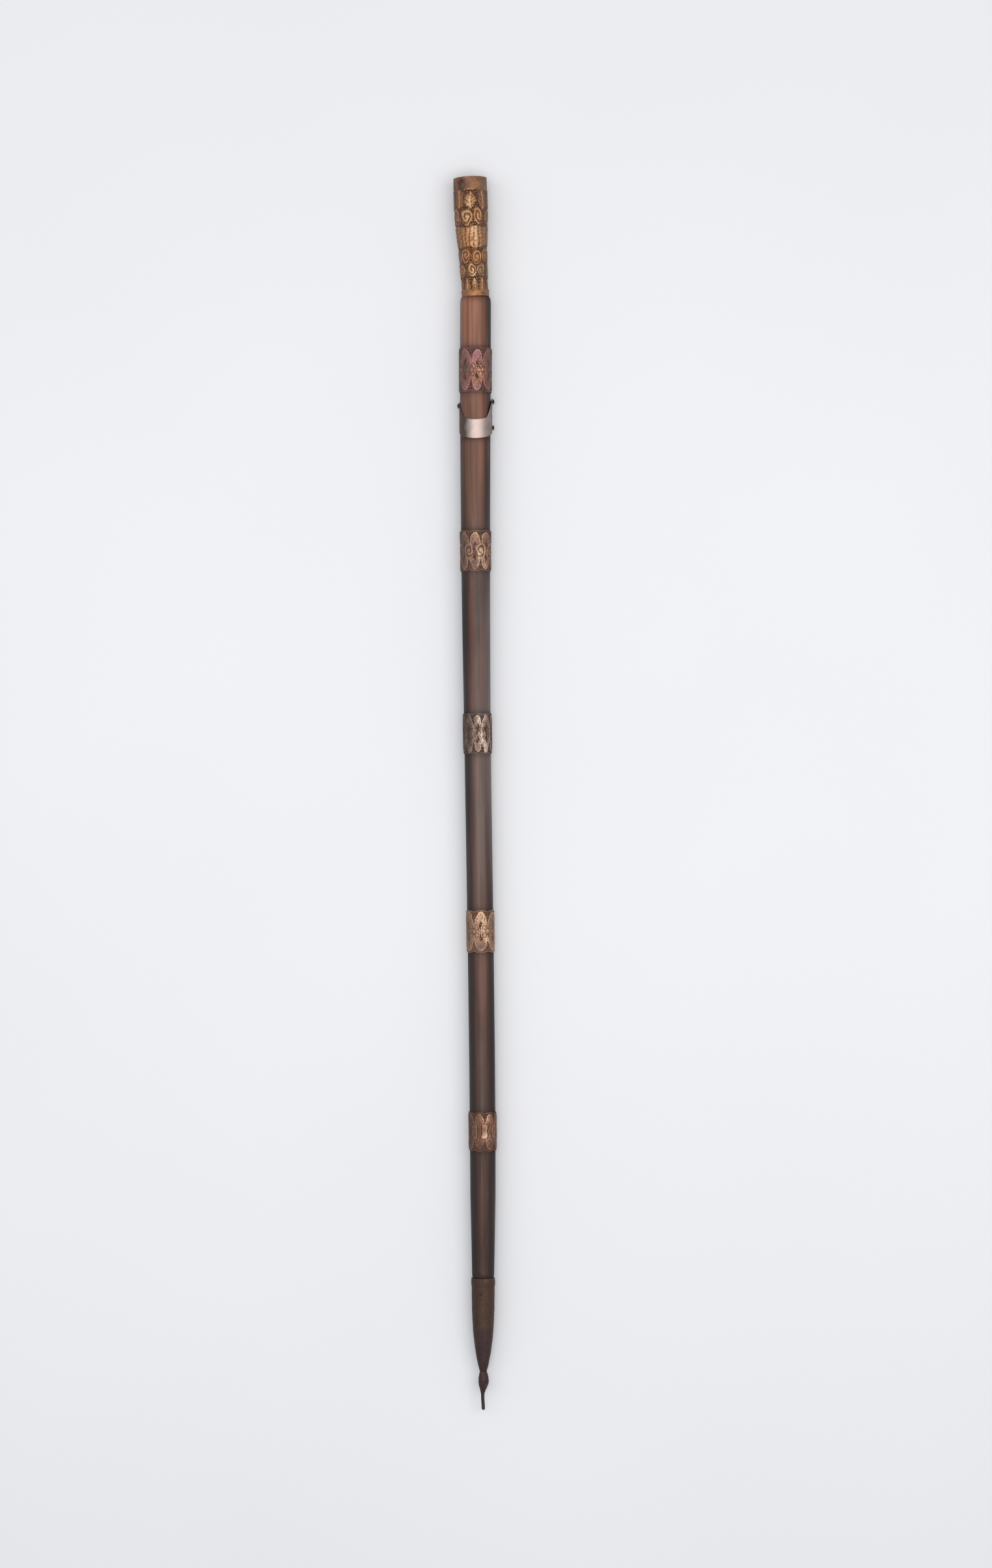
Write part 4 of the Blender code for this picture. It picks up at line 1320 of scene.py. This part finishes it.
def collar_radius(angle, up):
    """Inner radius of the collar, which stands off the wood at the right-hand side."""
    stand_off = COLLAR_STAND_OFF * np.maximum(np.cos(angle), 0.0) ** 4
    return wood_radius(collar_y + up) + CLEARANCE + stand_off


def collar_edges(angle):
    """Lower and upper edge of the collar, measured up from its middle."""
    dip = COLLAR_DIP * np.sin(angle)
    ears = 0.0
    for side_angle, height in EARS.values():
        reach = np.minimum(apart(angle, side_angle) / EAR_HALF_ANGLE, 1.0)
        ears = ears + height * (1 - reach ** 2) ** 2
    return -COLLAR_WIDTH / 2 - dip, COLLAR_WIDTH / 2 - dip + ears


def collar():
    """The strap with its two ears, as one shell with rounded edges."""
    angle = directions(COLLAR_SIDES)
    lower, upper = collar_edges(angle)
    share = np.linspace(0, 1, COLLAR_ROWS_UP)[:, None]
    up = lower + share * (upper - lower)
    edge = np.minimum(share, 1 - share) * (upper - lower)
    near_edge = np.clip(1 - edge / COLLAR_EDGE, 0, 1)
    thinner = 0.6 * COLLAR_SHEET * (1 - np.sqrt(1 - near_edge ** 2))
    outer = collar_radius(angle, up) + COLLAR_SHEET - thinner - COLLAR_DENT * dents(angle, up, 21)
    outside = ring_rows(outer, angle, up)
    inner_up = up[list(COLLAR_INNER_ROWS)]
    inside = ring_rows(collar_radius(angle, inner_up), angle, inner_up)
    # Painted shade: the left side goes brown, and the right side less.
    side = np.maximum(fade(-0.05, 0.95, -np.cos(angle)), 0.6 * fade(0.3, 1.0, np.cos(angle)))
    dull = side + 0.15 * fade(0.0006, 0.0, edge)
    dull = np.concatenate([dull, np.ones((len(inside), COLLAR_SIDES))])
    return grid_mesh("collar", placed(seat(collar_y), np.concatenate([outside, inside])), dull=dull)


new_piece("collar", collar(), SILVER, "silver", "silver_collar")

# %% [markdown]
# ## Iron
# The ferrule, its point, the rivets and the nail are hammered iron. Iron that is handled
# rather than scoured goes brown, with darker purplish scale towards the tip and small
# pits. One recipe serves them all. Its tones change along Y.

# %% The recipe for old iron
SCALE_STARTS = 0.040
SCALE_FULL = 0.052


def old_iron(name, upper, lower, pits, rough):
    """Brown iron with darker scale towards the tip, mottling and pits."""
    material, shader, place = new_finish(name)
    along = place.add("ShaderNodeSeparateXYZ", None, {0: place}, "Y")
    soft = stretched_noise(place, 1.0, 0.6, 150.0, 4.0)
    fine = stretched_noise(place, 1.0, 0.8, 1100.0, 4.0)
    scale = (along + (soft - 0.5) * 0.03).ramp(mouth_y - SCALE_STARTS, mouth_y - SCALE_FULL)
    color = scale.mix(upper, lower)
    color = (soft.ramp(0.48, 0.70) * 0.35).mix(color, screen(86, 68, 52))
    # Painted shade: the sides of the iron darken.
    color = (painted(place, "flank") * 0.5).mix(color, screen(44, 36, 34))
    color = (fine.ramp(0.54, 0.66) * 0.55).mix(color, pits)
    roughness = rough + fine * 0.25 - soft.ramp(0.5, 0.8) * 0.10
    bump = bumped(fine * 0.5 + soft * 0.8, 0.35, 0.0004)
    feed(shader, Base_Color=color, Roughness=roughness, Metallic=0.35 + fine * 0.4, Normal=bump)
    return material


RUSTED_IRON = old_iron(
    "rusted iron",
    upper=screen(76, 55, 43), lower=screen(68, 49, 48), pits=screen(36, 26, 22), rough=0.46,
)
DARK_IRON = old_iron(
    "dark iron",
    upper=screen(62, 50, 50), lower=screen(62, 50, 50), pits=screen(28, 22, 22), rough=0.34,
)
print("made", RUSTED_IRON.name, "and", DARK_IRON.name)

# %% [markdown]
# ## The rivets and the nail
# Three round-headed rivets hold the collar, and a nail holds the ferrule. One head is
# shaped as a grid, and a tree sets it at points that carry a direction and a size, then
# hammers it a little, so that no two heads are quite alike.

# %% One head, set at points by a tree
HEAD_SIDES = 28


def rivet_head():
    """A round head on a shank, along Z, one unit across."""
    angle = directions(HEAD_SIDES)
    arc = np.linspace(0.0, np.pi / 2, 10)[:-1, None]
    radius = np.concatenate([[[0.19], [0.19], [0.46], [0.49]], 0.5 * np.cos(arc) ** 0.85])
    height = np.concatenate([[[-1.0], [-0.06], [-0.06], [-0.03]], 0.333 * np.sin(arc)])
    rows = ring_rows(radius, angle, height)[..., [0, 2, 1]]
    tips = np.array([[0.0, 0.0, -1.0], [0.0, 0.0, 0.333]])
    return grid_mesh("rivet_head", rows, tips)


def rivet_tree():
    """Heads set at points along their directions, then hammered."""
    tree, given = new_tree("rivets at points", Head="Object", Hammering="Float", Fineness="Float")
    start = given["Geometry"]
    points = start.add("GeometryNodeMeshToPoints", None, {"Mesh": start})
    head = start.add("GeometryNodeObjectInfo", None, {"Object": given["Head"]}, "Geometry")
    out = {"Vector": kept_value(start, "out", "FLOAT_VECTOR")}
    turn = start.add("FunctionNodeAlignRotationToVector", {"axis": "Z"}, out)
    size = kept_value(start, "size")
    sockets = {"Points": points, "Instance": head, "Rotation": turn, "Scale": size}
    heads = start.add("GeometryNodeInstanceOnPoints", None, sockets)
    heads = start.add("GeometryNodeRealizeInstances", None, {"Geometry": heads})
    place = start.add("GeometryNodeInputPosition")
    heads = push_by_noise(start, heads, place, given["Fineness"], given["Hammering"], 1.0)
    return end_tree(tree, given, heads)


def rivet_points(name, places):
    """A mesh of points, each with its direction and its head's diameter."""
    mesh = bpy.data.meshes.new(name)
    mesh.from_pydata([place for place, out, size in places], [], [])
    out = np.array([out for place, out, size in places], np.float32)
    mesh.attributes.new("out", "FLOAT_VECTOR", "POINT").data.foreach_set("vector", out.ravel())
    keep(mesh, "size", [size for place, out, size in places])
    return mesh


HEAD = add_object("rivet_head", rivet_head())
RIVETS = rivet_tree()
print("the head has", len(HEAD.data.polygons), "faces")

# %% Set the rivets and the nail
RIVET_HEAD_HEIGHT = 0.0016
RIVET_HEAD_DIAMETER = 0.0048
NAIL_HEAD_DIAMETER = 0.0030
NAIL_ANGLE = math.radians(103)


def side_rivet(node, side):
    """Place, direction and size of a rivet whose axis points out to one side."""
    low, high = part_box(node)
    x = high.x - RIVET_HEAD_HEIGHT if side > 0 else low.x + RIVET_HEAD_HEIGHT
    return (x, (low.y + high.y) / 2, (low.z + high.z) / 2), (side, 0.0, 0.0), RIVET_HEAD_DIAMETER


rivets = {
    "ear_rivet_right": side_rivet("ear_rivet_right", 1.0),
    "ear_rivet_left": side_rivet("ear_rivet_left", -1.0),
    "seam_rivet": side_rivet("seam_rivet", 1.0),
}
rivet_mesh = run_tree(
    RIVETS,
    rivet_points("rivet_points", list(rivets.values())),
    Head=HEAD, Hammering=0.0003, Fineness=600.0, Material=DARK_IRON,
)
new_piece("rivets", rivet_mesh, DARK_IRON, "dark_iron", *rivets)

nail_y = (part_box("ferrule_nail")[0].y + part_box("ferrule_nail")[1].y) / 2
nail_place = ferrule_place @ Matrix.Translation((0.0, nail_y - mouth_y, 0.0))
nail_out = nail_place.to_3x3() @ Vector((math.cos(NAIL_ANGLE), 0.0, math.sin(NAIL_ANGLE)))
nail_spot = nail_place.translation + nail_out * float(ferrule_radius(mouth_y - nail_y) + FACE_GAP)
nail_mesh = run_tree(
    RIVETS,
    rivet_points("nail_points", [(tuple(nail_spot), tuple(nail_out), NAIL_HEAD_DIAMETER)]),
    Head=HEAD, Hammering=0.0002, Fineness=900.0, Material=DARK_IRON,
)
new_piece("nail", nail_mesh, DARK_IRON, "dark_iron", "ferrule_nail")
bpy.data.objects.remove(HEAD)

# %% [markdown]
# ## The ferrule
# The ferrule is a forged iron socket. Its mouth is stiffened by a raised ring with small
# nicks, and its body rounds in to a blunt tip. Forging leaves flat facets that run
# along it, which a few waves round the body give.

# %% Shape the ferrule
MOUTH_RING_HEIGHT = 0.0080
MOUTH_RING_PROUD = 0.0004
SPIKE_TANG_DIAMETER = 0.0040
SPIKE_TANG_LENGTH = 0.0110
FERRULE_SIDES = 180
FERRULE_ROWS = 170
SOCKET_SHARES = (1.0, 0.88, 0.7, 0.35, 0.0)
NICKS = 26
NICK_DEPTH = 0.00022
FACETS = 9
FACET_DEPTH = 0.00014
HAMMERED_DEPTH = 0.00010


def ferrule():
    """The iron socket: bore, mouth ring, body and the hole for the point's tang."""
    angle = directions(FERRULE_SIDES)
    depth = FERRULE_LENGTH * np.linspace(0, 1, FERRULE_ROWS)[:, None]
    ring_share = np.clip(depth / MOUTH_RING_HEIGHT, 0, 1)
    swell = MOUTH_RING_PROUD * np.sin(np.pi * ring_share) ** 0.5
    nicks = fade(0.55, 0.95, np.cos(NICKS * angle)) * fade(0.25, 0.5, np.sin(np.pi * ring_share))
    facets = 0.5 + 0.5 * np.cos(FACETS * (angle + dents(angle, depth, 31)))
    facets = FACET_DEPTH * facets * fade(0.0, 0.25, (depth - MOUTH_RING_HEIGHT) / FERRULE_LENGTH)
    cuts = NICK_DEPTH * nicks + facets + HAMMERED_DEPTH * dents(angle, depth, 32)
    outside = ring_rows(ferrule_radius(depth) + swell - cuts, angle, -depth)
    inner_depth = SOCKET_DEPTH * np.array(SOCKET_SHARES)[:, None]
    inside = ring_rows(ferrule_radius(inner_depth) - FERRULE_WALL, angle, -inner_depth)
    bore = SPIKE_TANG_DIAMETER / 2 + CLEARANCE
    bore_end = FERRULE_LENGTH - SPIKE_TANG_LENGTH - FACE_GAP
    hole = ring_rows(bore, angle, np.array([[-FERRULE_LENGTH], [-bore_end]]))
    tips = np.array([[0.0, -SOCKET_DEPTH, 0.0], [0.0, -bore_end, 0.0]])
    rows = np.concatenate([inside, outside, hole])
    return grid_mesh("ferrule_socket", placed(ferrule_place, rows), placed(ferrule_place, tips))


new_piece("ferrule_socket", ferrule(), RUSTED_IRON, "rusted_iron", "ferrule")

# %% [markdown]
# ## The point
# Below the ferrule come a short neck, a lopsided bulb with a deep pit in it, and a thin
# bent pin with a blunt end. It is one grid again: the radius follows the height, and the
# bulb is fuller on one side.

# %% Shape the point
SPIKE_LENGTH = 0.0365
SPIKE_NECK_INSET = 0.0004
SPIKE_BULB_DIAMETER = 0.0100
SPIKE_PIN_DIAMETER = 0.0032
BULB_SHARE = 0.26
PIN_START_SHARE = 0.64
BULB_LOPSIDED = 0.08
FULLER_SIDE = math.radians(35)
PIN_SIDEWAYS = 0.0006
POINT_SIDES = 96
POINT_ROWS = 110
PIT_SIDE = math.radians(58)
PIT_SHARE = 0.30
PIT_HALF_ANGLE = 0.32
PIT_HALF_SHARE = 0.055
PIT_DEPTH = 0.0016
KNOCK_DEPTH = 0.00008
BULB_KNOCK_DEPTH = 0.00022
BLUNT_FROM = 0.965
BLUNT_BY = 0.35


def point():
    """The iron point with its tang, bulb, pit and pin."""
    angle = directions(POINT_SIDES)
    share = np.linspace(FACE_GAP / SPIKE_LENGTH, 1.0, POINT_ROWS)[:, None]
    rising = np.sin(np.pi / 2 * np.minimum(share / BULB_SHARE, 1.0))
    swell = np.where(share < BULB_SHARE, rising, 1 - fade(BULB_SHARE, PIN_START_SHARE, share))
    neck = FERRULE_TIP_DIAMETER - 2 * SPIKE_NECK_INSET
    thin = np.where(share < BULB_SHARE, neck, SPIKE_PIN_DIAMETER)
    radius = (thin + (SPIKE_BULB_DIAMETER - thin) * swell) / 2
    radius = radius * (1 + BULB_LOPSIDED * swell * np.cos(angle - FULLER_SIDE))
    across = apart(angle, PIT_SIDE) / PIT_HALF_ANGLE
    pit = np.exp(-across ** 2 - ((share - PIT_SHARE) / PIT_HALF_SHARE) ** 2)
    knocks = dents(angle, share * SPIKE_LENGTH * 3, 41)
    radius = radius - PIT_DEPTH * pit - (BULB_KNOCK_DEPTH * swell + KNOCK_DEPTH) * knocks
    radius = radius * (1 - BLUNT_BY * fade(BLUNT_FROM, 1.0, share))
    lean = fade(BULB_SHARE, PIN_START_SHARE, share) * (1 - fade(PIN_START_SHARE, 1.0, share))
    outside = ring_rows(radius, angle, -SPIKE_LENGTH * share, -PIN_SIDEWAYS * lean)
    tang_heights = np.array([[SPIKE_TANG_LENGTH], [-FACE_GAP]])
    inside = ring_rows(SPIKE_TANG_DIAMETER / 2, angle, tang_heights)
    tips = np.array([[0.0, SPIKE_TANG_LENGTH, 0.0], [0.0, -SPIKE_LENGTH, 0.0]])
    rows = np.concatenate([inside, outside])
    place = ferrule_place @ Matrix.Translation((0.0, -FERRULE_LENGTH, 0.0))
    return grid_mesh("iron_point", placed(place, rows), placed(place, tips))


new_piece("iron_point", point(), RUSTED_IRON, "rusted_iron", "spike")

# %% [markdown]
# ## Floor, light and camera
# The staff lies on a plain pale floor. A large soft light hangs to the right, so that the
# long highlight runs right of the stick's middle, and a weaker one hangs to the left. An
# even grey world fills the shade. The camera looks straight down.

# %% A plain pale floor
FLOOR_REACH = 40.0


def pale_floor():
    """A wide plain floor."""
    material, shader, place = new_finish("pale floor", Roughness=0.9)
    clouds = stretched_noise(place, 1.0, 1.0, 3.0, 2.0)
    feed(shader, Base_Color=clouds.mix(screen(231, 232, 235), screen(235, 236, 238)))
    mesh = bpy.data.meshes.new("floor")
    signs = ((-1, -1), (1, -1), (1, 1), (-1, 1))
    corners = [(x * FLOOR_REACH, y * FLOOR_REACH, 0.0) for x, y in signs]
    mesh.from_pydata(corners, [], [(0, 1, 2, 3)])
    mesh.materials.append(material)
    return add_object("floor", mesh)


pale_floor()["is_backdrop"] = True
print("floor laid")

# %% Soft studio light
LIGHT_LENGTH = 2.8
WORLD_STRENGTH = 0.64


def soft_light(name, place, width, power, color):
    """A large rectangular light that faces the middle of the floor."""
    lamp = bpy.data.lights.new(name, "AREA")
    lamp.shape = "RECTANGLE"
    lamp.size = width
    lamp.size_y = LIGHT_LENGTH
    lamp.energy = power
    lamp.color = color
    holder = add_object(name, lamp)
    holder.location = place
    holder.rotation_euler = (-Vector(place)).to_track_quat("-Z", "Y").to_euler()


soft_light("main light", (0.60, 0.1, 2.2), width=1.3, power=27.0, color=(1.0, 0.98, 0.96))
soft_light("fill light", (-0.95, 0.3, 2.1), width=1.4, power=15.0, color=(0.97, 0.98, 1.0))

world = bpy.data.worlds.new("studio")
world.use_nodes = True
background = world.node_tree.nodes["Background"]
background.inputs["Color"].default_value = screen(228, 229, 232)
background.inputs["Strength"].default_value = WORLD_STRENGTH
bpy.context.scene.world = world
bpy.context.scene.view_settings.view_transform = "Standard"
print("two lights and an even world")

# %% The camera, straight above
PIXEL = 0.0006075
IMAGE_HEIGHT = 2408
CAMERA_DISTANCE = 3.5
CAMERA_ROLL = math.radians(-0.406)
VIEW_MIDDLE = (0.0183, 0.0091)
SENSOR = 36.0

camera_data = bpy.data.cameras.new("camera")
camera_data.sensor_width = SENSOR
camera_data.lens = SENSOR * CAMERA_DISTANCE / (PIXEL * IMAGE_HEIGHT)
camera = add_object("camera", camera_data)
camera.location = (*VIEW_MIDDLE, float(rise(0.0)) + CAMERA_DISTANCE)
camera.rotation_euler = (0.0, 0.0, CAMERA_ROLL)
bpy.context.scene.camera = camera
print(f"lens {camera_data.lens:.1f} mm")

# %% [markdown]
# ## Sizes
# The finished pieces must fill the same box as the solids. The sizes of both boxes are
# printed.

# %% Print the sizes and finish
visual_low, visual_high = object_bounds()
sizes = {
    "cad": [list(cad_low), list(cad_high)],
    "visual": [list(visual_low), list(visual_high)],
}
for name, (low, high) in sizes.items():
    print(name, [round((b - a) * 1000, 2) for a, b in zip(low, high)], "mm")
